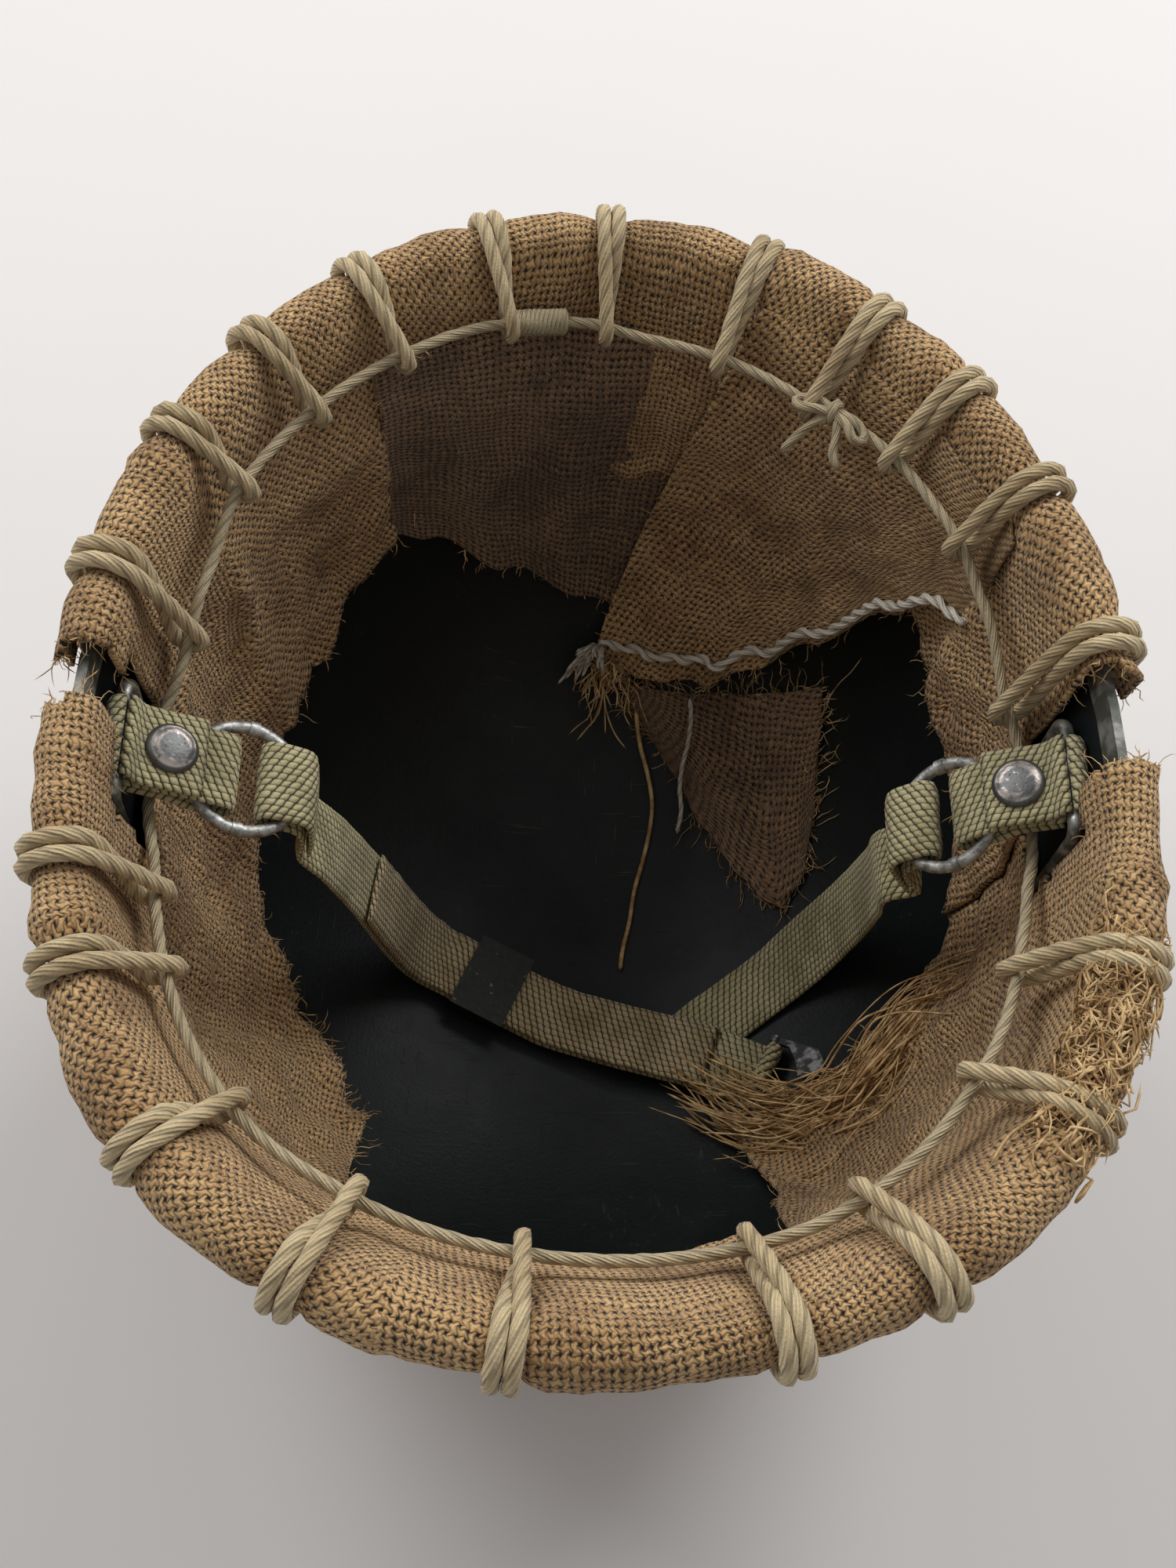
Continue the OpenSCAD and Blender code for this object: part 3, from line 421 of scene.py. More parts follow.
def thicken(piece, thick, softened=0):
    """Gives a sheet its thickness."""
    wall = piece.modifiers.new("thickness", "SOLIDIFY")
    wall.thickness, wall.offset = thick * mm, 0
    if softened:
        soft = piece.modifiers.new("soft", "SUBSURF")
        soft.levels = soft.render_levels = softened


def between_cords(s, a):
    """1 in the middle of a mesh of the net and 0 on its cords."""
    u = s * math.cos(math.radians(a)) / net_pitch + 0.5
    v = s * math.sin(math.radians(a)) / net_pitch + 0.5
    return abs(math.sin(math.pi * u) * math.sin(math.pi * v)) ** 0.8


def pleat(a):
    """A narrow ridge where two gores of the cloth meet."""
    near = min(abs((a - e + 180) % 360 - 180) for e in gore_edges)
    return math.exp(-(near / 1.6) ** 2) - 0.5 * math.exp(-((near - 3.2) / 1.5) ** 2)


def held_down(a):
    """1 under an edge loop of the net and 0 between two of them."""
    near = min(abs((a - e + 180) % 360 - 180) for e in loop_at)
    return math.exp(-(near / 2.1) ** 2)


def between_loops(a):
    """How far the cloth stands out at the rim: little under an edge loop, with a slow wave round it."""
    return loop_swell * (1 - held_down(a)) + wave_swell * rumple(steel(1, a), 24, 13)


def folded_over(a):
    """How far the fold of the large flap stands up on the rim, highest at its straight edge."""
    return 1.7 * clamp((a - 44) / 24) if a <= 70 else 0


def cover_at(i, j):
    a = 360 * i / cover_cols
    if j <= outer_rows:
        s = j / outer_rows
        p = steel(s, a)
        c = mix(dome_off, cover_off, clamp((s - 0.88) / 0.04))
        c += (mesh_swell * between_cords(s, a) * clamp(s * 6) * clamp((0.93 - s) * 12)
              + between_loops(a) * clamp((s - 0.86) * 10)
              + 0.5 * rumple(p, 9) + 0.9 * max(0, pleat(a)) * clamp((s - 0.3) * 3))
        return off_steel(s, a, c)
    edge, free = cover_off + roll_room, 1 - held_down(a)
    if j <= outer_rows + rim_rows:
        t = (j - outer_rows) / rim_rows
        p = steel(1, a)
        puff = between_loops(a) + free * (0.9 * rumple(p, 8, 3) + max(0, pleat(a)) + 0.5 * rumple(p, 3, 4))
        return over_rim(180 * t, a, edge + puff + folded_over(a), roll_lift)
    t = (j - outer_rows - rim_rows) / inner_rows
    low = read_marks(raw_edge, a)
    low += 0.012 * rumple(Vector((a * 2.2, 0, 0)), 9, 7) + 0.008 * rumple(Vector((a * 2.2, 0, 0)), 2.2, 9)
    s = mix(0.995, low, t)
    p = steel(s, a)
    loose = clamp((0.93 - s) * 9) * (0.2 if 28 < a < 122 else 1)
    bag = read_marks(bagging, a)
    c = edge + between_loops(a) * clamp((s - 0.9) * 12)
    c += (bag - bagging[0][1]) * math.sin(math.pi / 2 * clamp((1 - s) / 0.16))
    c += folded_over(a) * clamp((s - 0.95) * 20)
    c += loose * (2.4 + 2.2 * rumple(p, 15, 1) + 1.6 * rumple(p, 6, 2)
                  + 1.3 * math.sin(a * 0.31 + 2.2 * rumple(p, 40, 5)) + 1.6 * max(0, pleat(a + 2)))
    c += 1.5 * t ** 5 * (0.6 + rumple(p, 10, 6))
    return off_steel(s, a, -max(steel_t / 2 + 1.2, c))


def cover_flat(i, j, column):
    """Where a corner lies on the flat cloth, one gore of it at a time."""
    a, middle = 360 * i / cover_cols, 360 * (column + 0.5) / cover_cols
    edges = [gore_edges[-1] - 360, *gore_edges, gore_edges[0] + 360]
    k = max(n for n, e in enumerate(edges) if e <= middle)
    centre = (edges[k] + edges[k + 1]) / 2
    if j <= outer_rows:
        s, way = j / outer_rows, meridian * j / outer_rows
    elif j <= outer_rows + rim_rows:
        s, way = 1, meridian + rim_arc * (j - outer_rows) / rim_rows
    else:
        t = (j - outer_rows - rim_rows) / inner_rows
        s = mix(0.995, read_marks(raw_edge, a), t)
        way = meridian * (2 - s) + rim_arc
    p = steel(s, a)
    wide = math.hypot(p.x, p.y - mid_y) / max(1, way)
    turn = math.radians(centre + wide * (a - centre))
    return way * math.cos(turn), way * math.sin(turn)


def sacking(name, pale, light, dark, deep):
    """Coarse plain weave of uneven jute threads, with painted shade in the gaps between them and a painted
    highlight on the fibres of the thread tops.
    """
    made = Finish(name, Roughness=0.92, Specular_IOR_Level=0.25, Sheen_Weight=0.15)
    flat, here = made.map("weave"), made.place
    pitch = 1.95
    x = flat.part(0) / pitch + 2.6 * flat.cloud(30, 1) + 1.0 * flat.cloud(3.6, 2)
    y = flat.part(1) / pitch + 2.6 * flat.stretched(1, -1, 1).cloud(28, 1) \
        + 1.0 * flat.stretched(-1, 1, 1).cloud(3.8, 2)
    # The twist of the yarn leans each short float
    x, y = x + 0.13 * (y * (2 * math.pi)).sin(), y - 0.13 * (x * (2 * math.pi)).sin()
    along_x, along_y = x.floor(), y.floor()
    ridge_x, ridge_y = (x.fract() * math.pi).sin(), (y.fract() * math.pi).sin()
    swap = ((along_x + along_y) * math.pi).cos()
    numbered = flat.node("ShaderNodeCombineXYZ", {}, {0: along_x, 1: 3.0})
    numbered_y = flat.node("ShaderNodeCombineXYZ", {}, {0: along_y, 1: 8.0})
    thick_x, thick_y = numbered.specks(), numbered_y.specks()
    over_x = ridge_x * (0.6 + 0.36 * swap * ridge_y) * (0.68 + 0.42 * thick_x)
    over_y = ridge_y * (0.6 - 0.36 * swap * ridge_x) * (0.68 + 0.42 * thick_y)
    high = over_x.higher(over_y)
    fibre = flat.stretched(1, 0.25, 1).cloud(0.35, 2).higher(flat.stretched(0.25, 1, 1).cloud(0.35, 2))
    soiled = here.cloud(26, 4).between(0.4, 0.66)
    each = flat.node("ShaderNodeCombineXYZ", {}, {0: along_x, 1: along_y}).specks()
    colour = (0.6 * soiled + 0.3 * (thick_x + thick_y) + 0.35 * each - 0.35).colours(light, dark)
    # Painted highlight: the pale colour goes on the fibres of the raised thread tops.
    colour = (0.5 * fibre.between(0.5, 0.75) * high).colours(colour, pale)
    # Painted shade: the deep colour fills the gaps between the threads.
    made.set(Base_Color=high.between(0.16, 0.62).colours(deep, colour))
    made.relief(high ** 0.8 + 0.3 * fibre, 1.4)
    return made


jute = sacking("jute", paint(250, 222, 172), paint(222, 180, 126), paint(152, 114, 73), paint(30, 20, 13))
# A darker copy of the jute for the cloth deep in the bowl behind the visor: its darker colours are painted
# shade.
shaded_jute = sacking("shaded_jute", paint(200, 168, 132), paint(160, 128, 98), paint(102, 81, 63),
                    paint(20, 14, 11))

cover_mesh = bmesh.new()
cover_rows = outer_rows + rim_rows + inner_rows
cover_grid = add_grid(cover_mesh, cover_cols, cover_rows, cover_at, cover_flat)


def torn_open(f):
    """Whether a cell of the cloth lies in the torn opening at a bail."""
    c = f.calc_center_median() / mm
    if min(cover_grid[v][1] for v in f.verts) < outer_rows - 2 or abs(c.x) < 80 or c.z < window_low:
        return False
    if c.z < window_top:
        return abs(c.y - mid_y) < window_half + 1.5 * rumple(c, 3)
    return abs(c.y - mid_y - rim_window_y) < rim_window[1 if c.x > 0 else -1] + 3 * rumple(c, 3)


torn = [f for f in cover_mesh.faces if torn_open(f)]
bmesh.ops.delete(cover_mesh, geom=torn, context="FACES")
close_up(cover_mesh, 0.02)


def raw_edges(bm):
    """Places along a cloth's open edges and the way that its loose threads point."""
    found = []
    for v in bm.verts:
        if v.is_boundary:
            inner = sum((f.calc_center_median() for f in v.link_faces), Vector()) / len(v.link_faces)
            found.append((v.co / mm, (v.co - inner).normalized()))
    return found


frayed = {"cover_cloth": raw_edges(cover_mesh)}
cover = new_piece("cover_cloth", cover_mesh, replaces=["cover"])
thicken(cover, 1.4)
jute.on(cover)

# Loose folds of the cloth
# Spare cloth inside the rim: a deep pleat behind the visor, a large flap with a folded left
# edge and a chain-stitched hem at its right, and a torn scrap that hangs below it on the bowl.
# The pleat and the scrap wear a darker copy of the jute, whose darkness is painted shade.
flap_off = steel_t / 2 + cloth_gap + cloth_t + 1.6
flap_low = [(0, 0.8), (24, 0.84), (31, 0.82), (38, 0.73), (46, 0.6), (54, 0.49), (62, 0.42), (75, 0.39),
            (92, 0.385), (359, 0.8)]
pleat_low = [(0, 0.6), (74, 0.5), (80, 0.48), (90, 0.5), (104, 0.56), (116, 0.64), (124, 0.68), (359, 0.6)]


def wall_cloth(name, cols, rows, place, finish, replaces, flat, cut_lean):
    """A patch of cloth laid against the wall; place(f, k) takes shares across and down, and
    cut_lean is the angle that its threads make with its sides."""
    bm = bmesh.new()
    lean = math.radians(cut_lean)

    def on_flat(i, j, column):
        x, y = flat[0] * 1000 * i / cols, flat[1] * 1000 * j / rows
        return x * math.cos(lean) - y * math.sin(lean), x * math.sin(lean) + y * math.cos(lean)

    add_grid(bm, cols, rows, lambda i, j: place(i / cols, j / rows), on_flat)
    close_up(bm)
    frayed[name] = raw_edges(bm)
    piece = new_piece(name, bm, replaces=replaces)
    thicken(piece, 1.3, 1)
    finish.on(piece)
    return piece


def flap_place(f, k):
    a = mix(26, mix(70, 87, k), f)
    low = read_marks(flap_low, a) + 0.006 * rumple(Vector((a, 0, 0)), 3)
    s = mix(0.985, low, k)
    p = steel(s, a)
    c = flap_off + 3.2 * clamp((s - 0.88) * 12) * (1 - held_down(a))
    c += 5.5 * math.sin(math.pi * min(1, f * 1.05)) * math.sin(math.pi / 2 * k)
    c += (2.8 * rumple(p, 18, 11) + 1.2 * rumple(p, 7, 12)) * min(1, 2 * k)
    c += 2.2 * math.exp(-((1 - f) / 0.035) ** 2)
    return off_steel(s, a, -c)


def pleat_place(f, k):
    a = mix(75, 123, f)
    low = read_marks(pleat_low, a)
    s = mix(0.93, low, k)
    p = steel(s, a)
    # Its side at the flap stays flat behind it
    free = clamp(f * 5 - 0.7)
    c = flap_off - 1.6 + 3.9 * free + free * min(1, 2 * k) * (
        2.6 * rumple(p, 15, 21) + 1.2 * math.sin(a * 0.4 + 2 * k)) + 3.0 * math.sin(math.pi * f) * k * free
    return off_steel(s, a, -max(2.9, c))


hanging_top = [Vector((16, 87, 0)), Vector((36, 83, 0)), Vector((56, 79, 0)), Vector((74, 74, 0))]
hanging_low = [Vector((26, 70, 0)), Vector((40, 50, 0)), Vector((52, 31, 0)), Vector((66, 16, 0)),
               Vector((72, 26, 0)), Vector((75, 40, 0))]


def along(points, t):
    """A point at a share t of the way along straight pieces."""
    t = clamp(t) * (len(points) - 1)
    k = min(len(points) - 2, int(t))
    return points[k].lerp(points[k + 1], t - k)


def hanging_place(f, k):
    p = along(hanging_top, f).lerp(along(hanging_low, f), k)
    p += Vector((1, 1, 0)) * (2.0 * rumple(p, 9, 31) * k)
    lift = 2.0 + 3.0 * math.sin(math.pi * f) * math.sin(math.pi * k) + 1.8 * rumple(p, 10, 32) \
        + 1.2 * (1 - k)
    return Vector((p.x, p.y, bowl_height(p.x, p.y) + max(1.2, lift)))


wall_cloth("pleat_cloth", 40, 34, pleat_place, shaded_jute, ["dark_pleat"], (0.092, 0.09), 0)
wall_cloth("flap_cloth", 64, 44, flap_place, jute, ["side_flap"], (0.085, 0.125), 14)
wall_cloth("hanging_cloth", 40, 36, hanging_place, shaded_jute, ["hanging_flap"],
           (0.055, 0.052), -20)

# Cord net
# Three-strand cotton cord knotted into a net of 44 mm meshes over the outside of the cover.
# The helmet stands on its crown meshes, which are pressed flat.
net_lines, net_end, edge_line = 10, 0.87, 0.967
dome_net_off = steel_t / 2 + cloth_gap + cloth_t + 0.5 + cord_d / 2
net_off = dome_net_off + strip_t + steel_gap


def smooth_way(points, step):
    """Points about one step apart on a smooth curve through the given ones."""
    aims = []
    for k in range(len(points)):
        aims.append((points[min(len(points) - 1, k + 1)] - points[max(0, k - 1)]).normalized())
    way = [points[0]]
    for k in range(len(points) - 1):
        gap = (points[k + 1] - points[k]).length
        parts = max(2, round(gap / step) + 1)
        way += geometry.interpolate_bezier(points[k], points[k] + aims[k] * gap / 3,
                                           points[k + 1] - aims[k + 1] * gap / 3, points[k + 1], parts)[1:]
    return way


def lay_cord(bm, points, thick, twist=7.5, strands=3, sides=12, groove=0.07, step=2.4):
    """Adds a laid cord along a way: its strands turn once in each twist millimetres."""
    way = smooth_way(points, step)
    run, walked = [0.0], 0.0
    for k in range(1, len(way)):
        walked += (way[k] - way[k - 1]).length
        run.append(walked)
    first = (way[1] - way[0]).normalized()
    across = first.orthogonal().normalized()
    frames = []
    for k in range(len(way)):
        head = (way[min(len(way) - 1, k + 1)] - way[max(0, k - 1)]).normalized()
        across = (across - head * across.dot(head)).normalized()
        frames.append((across.copy(), head.cross(across)))

    def place(i, j):
        g = 2 * math.pi * i / sides
        r = thick / 2
        if strands:
            r *= 1 - groove + groove * math.cos(strands * (g - 2 * math.pi * run[j] / twist / strands))
            r *= 1 + 0.13 * noise.noise(Vector((run[j] / 2.6, 1.6 * math.cos(g), 1.6 * math.sin(g))))
        if j in (0, len(way) - 1):
            r = 0
        u, w = frames[j]
        p = way[j] + r * (math.cos(g) * u + math.sin(g) * w)
        return Vector((p.x, p.y, max(0.02, p.z)))

    def flat(i, j, column):
        return i / sides * max(1, strands) - run[j] / twist, run[j]

    add_grid(bm, sides, len(way) - 1, place, flat)


def cord_finish(name, light, dark, soil=0.6):
    """Fuzzy twisted fibre, with painted shade down in the grooves between its strands and between its fine
    yarns.
    """
    made = Finish(name, Roughness=0.88, Specular_IOR_Level=0.3, Sheen_Weight=0.2)
    lay, here = made.map("weave"), made.place
    top = (lay.part(0) * (2 * math.pi)).cos() * 0.5 + 0.5
    thread = (lay.part(0) * 25.2 + lay.part(1) * 1.3 + 1.6 * here.cloud(3)).sin() * 0.5 + 0.5
    fluff = here.cloud(0.55, 3)
    dirty = here.cloud(22, 4).between(0.42, 0.68)
    colour = (soil * dirty + 0.3 * fluff).colours(light, dark)
    # Painted shade: darker in the grooves between the strands and between the fine yarns, lighter on the
    # strand tops.
    made.set(Base_Color=(0.5 + 0.36 * top.between(0.0, 0.4) + 0.22 * thread - 0.12 * fluff).shaded(colour))
    made.relief(0.5 * top + 0.6 * thread + 0.7 * fluff, 0.4)
    return made


def line_at(i):
    return (i - (net_lines - 1) / 2) * net_pitch * (edge_line if i in (0, net_lines - 1) else 1)


def net_at(x, y, lift=0.0):
    s, a = math.hypot(x, y), math.degrees(math.atan2(y, x))
    return off_steel(s, a, mix(dome_net_off, net_off, clamp((s - 0.8) / 0.1)) + lift)


def reach(v):
    return math.sqrt(net_end * net_end - v * v)


net_mesh = bmesh.new()
for n in range(net_lines):
    v = line_at(n)
    stops = 46
    for turn in (0, 1):
        way = []
        for k in range(stops + 1):
            u = mix(-reach(v), reach(v), k / stops)
            sway = 0.006 * noise.noise(Vector((u * 9, v * 30, turn * 7)))
            # Each line passes over and under the lines that it meets
            weave = 0.5 * math.cos(math.pi * (u / net_pitch + 0.5 + n + turn)) * clamp(abs(u) * 9)
            way.append(net_at(u, v + sway, weave) if turn == 0 else net_at(v + sway, u, weave))
        lay_cord(net_mesh, [Vector((p.x, p.y, max(cord_d / 2 - 0.4, p.z))) for p in way], cord_d, sides=10,
                 step=3.0)
for n in range(net_lines):
    for m in range(net_lines):
        x, y = line_at(n), line_at(m)
        if math.hypot(x, y) >= net_end - 0.025:
            continue
        s, a = math.hypot(x, y), math.degrees(math.atan2(y, x))
        p, out = net_at(x, y, 0.7), out_of_steel(s, a)
        t_x = (net_at(x + 0.01, y) - net_at(x - 0.01, y)).normalized()
        t_y = (net_at(x, y + 0.01) - net_at(x, y - 0.01)).normalized()
        for lean in (1, -1):
            way_a, way_b = (t_x + lean * t_y).normalized(), (t_x - lean * t_y).normalized()
            ring = []
            for g in range(-30, 361, 30):
                r, t = 3.1, math.radians(g)
                q = p + r * math.cos(t) * way_a + 0.7 * r * math.sin(t) * out \
                    + way_b * (1.5 * lean * (g / 165 - 1) * 0.8)
                ring.append(Vector((q.x, q.y, max(1.5, q.z))))
            lay_cord(net_mesh, ring, 3.7, sides=8, step=3.2)
close_up(net_mesh, 0.004)
net = new_piece("net_cords", net_mesh, replaces=["net"])
net_cotton = cord_finish("net_cotton", paint(230, 208, 164), paint(180, 154, 112))
net_cotton.on(net)

# Drawstring
# A thin cord run round the inside of the rim through every edge loop, below both tabs.
# Its ends meet in a bow behind the visor, and a stretch near it is whipped with spare cord.
string_d = 3.0
string_marks = [(0, 12, 32), (5, 12, 31), (12, 15, 26), (21, 15.5, 18), (32, 16.5, 11), (44, 18, 9),
                (60, 22, 9), (82, 22, 9), (96, 18.5, 8), (110, 17, 7), (148, 14.5, 8), (159, 15.5, 16),
                (168, 15, 25), (175, 12, 31), (180, 12, 32), (185, 12, 31), (192, 15, 26), (201, 16, 18),
                (212, 16.5, 11), (226, 17, 9), (242, 19, 9), (290, 18.5, 9), (318, 20, 9), (330, 19, 13),
                (340, 17.5, 20), (348, 15, 27), (355, 12, 31)]
bow_angle = 53.6


def string_at(a):
    o = out_of_steel(1, a)
    inset = read_marks([(m[0], m[1]) for m in string_marks], a)
    low = read_marks([(m[0], m[2]) for m in string_marks], a)
    return steel(1, a) - inset * Vector((o.x, o.y, 0)).normalized() - Vector((0, 0, low))


string_mesh = bmesh.new()
lay_cord(string_mesh, [string_at(bow_angle + 3 + 360 * k / 90) for k in range(91)], string_d, twist=5.5,
         sides=9, step=1.8)
# The whipped stretch: the spare end wound closely round the string
whip_from, whip_to, whip_turns = 96.0, 103.4, 12
whip = []
for k in range(whip_turns * 8 + 1):
    t = k / (whip_turns * 8)
    a = mix(whip_from, whip_to, t)
    head = (string_at(a + 0.5) - string_at(a - 0.5)).normalized()
    side = head.cross(Vector((0, 0, 1))).normalized()
    g = 2 * math.pi * k / 8
    whip.append(string_at(a) + 2.5 * (math.cos(g) * side + math.sin(g) * side.cross(head)))
lay_cord(string_mesh, whip, 2.2, twist=5.0, sides=7, step=2.0)


def bow_place(x, y, z):
    """A place beside the bow: x along the string, y in towards the bowl, z up."""
    head = (string_at(bow_angle + 1) - string_at(bow_angle - 1)).normalized()
    into = Vector((0, 0, 1)).cross(head).normalized()
    return string_at(bow_angle) + x * head + y * into + z * into.cross(head) * -1


def bow_side(points, thick=2.7):
    lay_cord(string_mesh, [bow_place(0.5 * x, 0.55 * y, 0.8 * z) for x, y, z in points], thick, twist=6.5,
             sides=9, step=1.6)


bow_side([(-3, 0, 1), (2, 3, 3), (9, 6, 4), (17, 8, 3), (21, 5, 2), (17, 1, 2.5), (9, 0, 3.5),
          (2, 1, 3), (-3, 2, 1)])
bow_side([(3, 0, 1), (-2, 3, 3), (-9, 5, 3.5), (-16, 9, 2), (-20, 6, 1), (-17, 2, 2), (-8, 1, 3.5),
          (-2, 1, 3), (3, 2, 1)])
bow_side([(0, -2.6, 1), (0.5, -1.8, 4.4), (0.8, 1.6, 5.6), (0.5, 4.2, 3), (0, 3, -0.4), (0, 0, -1.6)], 2.8)
bow_side([(2, 2, 3), (7, 10, 0), (12, 17, -5), (15, 24, -9)], 2.6)
bow_side([(-2, 2, 3), (-7, 9, 0), (-10, 16, -3), (-17, 20, -6)], 2.6)
close_up(string_mesh, 0.004)
string = new_piece("drawstring_cord", string_mesh, replaces=["drawstring"])
string_cotton = cord_finish("string_cotton", paint(214, 196, 158), paint(168, 148, 112), 0.4)
string_cotton.on(string)

# Net edge loops
# The forty line ends of the net meet in twenty doubled cords. Each comes over the rim,
# goes round the drawstring and back over the rim, and holds the tucked cloth down.
seat_gap = 0.3
# Where the two cords of a loop meet below the rim, as a share of the way from crown to rim
side_by_side = 0.945


def past_end(q, far):
    d = far / meridian
    return net_at(q[1] + q[3] * d, q[2] + q[4] * d)


def lead(q, a):
    """The way from just past the end of a line to the rim at angle a."""
    d = 5 / meridian
    x, y = q[1] + q[3] * d, q[2] + q[4] * d
    b = math.degrees(math.atan2(y, x))
    b += 360 * round((a - b) / 360)
    return [off_steel(mix(math.hypot(x, y), side_by_side, t), mix(b, a, t), net_off)
            for t in ((0.33, 0.67) if abs(a - b) > 7 else (0.5,))]


line_ends = []
for n in range(net_lines):
    v = line_at(n)
    for e in (-1, 1):
        for x, y, go_x, go_y in ((e * reach(v), v, e, 0), (v, e * reach(v), 0, e)):
            line_ends.append((math.degrees(math.atan2(y, x)) % 360, x, y, go_x, go_y))
line_ends.sort()

loop_mesh = bmesh.new()
threaded, loop_cord_d = 3.4, 4.0
rolled = (net_off + roll_room) / math.cos(math.radians(30))
for k, a in enumerate(loop_at):
    first, last = line_ends[(2 * k - 1) % len(line_ends)], line_ends[2 * k]
    spread = math.degrees(math.atan((cord_d / 2 - 0.2) / Vector(steel(1, a).xy).length))
    a0, a1 = a - spread, a + spread
    c = string_at(a)
    into = (over_rim(150, a, rolled, roll_lift) - c).normalized()
    over = into.cross(steel(1, a + 0.5) - steel(1, a - 0.5)).normalized()
    turn = [c + threaded * (math.cos(math.radians(g)) * -over + math.sin(math.radians(g)) * into)
            for g in range(10, -191, -50)]
    down = [*(off_steel(s, a0, net_off) for s in (side_by_side, 0.98)),
            *(over_rim(t, a0, rolled, roll_lift) for t in (30, 90, 150))]
    back = [*(over_rim(t, a1, rolled, roll_lift) for t in (150, 90, 30)),
            *(off_steel(s, a1, net_off) for s in (0.98, side_by_side))]
    lay_cord(loop_mesh, [past_end(first, 0.2), past_end(first, 5), *lead(first, a0), *down, *turn, *back,
                         *reversed(lead(last, a1)), past_end(last, 5), past_end(last, 0.2)], loop_cord_d,
             twist=6.0, sides=10)
close_up(loop_mesh, 0.004)
loops = new_piece("net_edge_cords", loop_mesh, replaces=["net_edge_loops"])
net_cotton.on(loops)

# Tabs and their snap flaps
# Short ends of 20 mm olive cotton web. The lower ply goes behind the bail bar and round the ring,
# and the flap folds back over the bar and snaps down on it. All edges are soft and a little frayed.
web_w, web_t = 20.0, 1.8
bail_d, tab_l, tab_end_l, tab_slope = 4.0, 18.0, 8.5, 24.0
snap_at, stud_flange = 12.0, 0.7
ring_wire, ring_d, right_slope = 3.0, 27.0, 46.0
bar_low, bar_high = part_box("right_bail")
bar_x, bar_z = bar_low.x / mm + bail_d / 2, bar_high.z / mm - bail_d / 2
ply_mid = bail_d / 2 + seat_gap + web_t / 2
tab_end_r = ring_wire / 2 + seat_gap + web_t / 2
under_mid = -ply_mid - web_t - 1.3
flap_mid = -ply_mid + web_t + stud_flange + 0.4
wire_at = Vector((tab_l, -ply_mid - tab_end_r))


def tab_point(x, z, side):
    """A place on a tab: x runs along it from the bar, z points up off it; side is 1 or -1."""
    c, s = math.cos(math.radians(tab_slope)), math.sin(math.radians(tab_slope))
    return Vector((side * (bar_x - x * c - z * s), mid_y, bar_z - x * s + z * c))


def lay_web(bm, points, sides, wide=web_w, thick=web_t, step=2.0, seed=0.0, ragged=0.35):
    """Adds a flat woven web along a way; sides gives the direction of its width at each point."""
    way = smooth_way(points, step)
    run, walked, side_at = [0.0], 0.0, []
    for k in range(1, len(way)):
        walked += (way[k] - way[k - 1]).length
        run.append(walked)
    nearest = 0
    stops = [0.0]
    for k in range(1, len(points)):
        nearest = min(range(nearest, len(way)), key=lambda n: (way[n] - points[k]).length_squared)
        stops.append(run[nearest])
    for k in range(len(way)):
        n = max(m for m in range(len(stops)) if stops[m] <= run[k])
        m = min(len(stops) - 1, n + 1)
        t = 0 if stops[m] == stops[n] else (run[k] - stops[n]) / (stops[m] - stops[n])
        side_at.append(sides[n].lerp(sides[m], t).normalized())
    cols, half = 12, 13
    around = 2 * half

    def place(i, j):
        head = (way[min(len(way) - 1, j + 1)] - way[max(0, j - 1)]).normalized()
        side = (side_at[j] - head * side_at[j].dot(head)).normalized()
        up = head.cross(side)
        i %= around
        top = i < half
        u = i / (half - 1) if top else 1 - (i - half) / (half - 1)
        edge = min(u, 1 - u)
        swell = thick / 2 * min(1, 0.35 + 6 * edge)
        if j in (0, len(way) - 1):
            swell = 0
        wave = ragged * noise.noise(Vector((run[j] / 5, round(u) * 9 + seed, seed)))
        x = (u - 0.5) * (wide + wave)
        curl = 0.25 * noise.noise(Vector((run[j] / 11, u * 3, seed + 5)))
        return way[j] + side * x + up * ((swell if top else -swell) + curl)

    def flat(i, j, column):
        u = i / (half - 1) if column < half - 1 else (0 if column >= around - 1 and i == around
                                                      else 1 - (i - half) / (half - 1))
        return u * wide, run[j]

    add_grid(bm, around, len(way) - 1, place, flat)


def web_finish(name, light, dark, deep, side_yarn=2.2, long_yarn=1.75):
    """Heavy cotton web: thick yarns across that show as ribs, with soiling and rubbed edges."""
    made = Finish(name, Roughness=0.9, Specular_IOR_Level=0.25, Sheen_Weight=0.15)
    flat, here = made.map("weave"), made.place
    x = flat.part(0) / long_yarn + 0.5 * flat.cloud(4, 2)
    y = flat.part(1) / side_yarn + 0.5 * flat.cloud(5, 2)
    # Neighbouring columns step by half a yarn, which gives the web its slanting ribs
    stepped = y + 0.5 * x.floor() + 0.4 * x.fract()
    ridge = (stepped.fract() * math.pi).sin()
    column = (x.fract() * math.pi).sin()
    high = ridge ** 0.7 * (0.3 + 0.7 * column ** 0.6)
    fluff = here.cloud(0.5, 3)
    dirty = here.cloud(15, 4).between(0.4, 0.66)
    colour = (0.6 * dirty + 0.35 * fluff).colours(light, dark)
    # Painted shade: the deep colour fills the hollows between the ribs of the yarns.
    made.set(Base_Color=high.between(0.1, 0.62).colours(deep, colour))
    made.relief(high + 0.35 * fluff, 0.75)
    return made


web_olive = web_finish("web_olive", paint(206, 196, 152), paint(148, 138, 100), paint(56, 50, 34))
web_brown = web_finish("web_brown", paint(208, 190, 150), paint(152, 134, 98), paint(54, 46, 33))
straight_side = Vector((0, 1, 0))


def arc(centre, r, start, stop, count):
    return [centre + r * Vector((math.cos(math.radians(mix(start, stop, k / count))),
                                 math.sin(math.radians(mix(start, stop, k / count)))))
            for k in range(count + 1)]


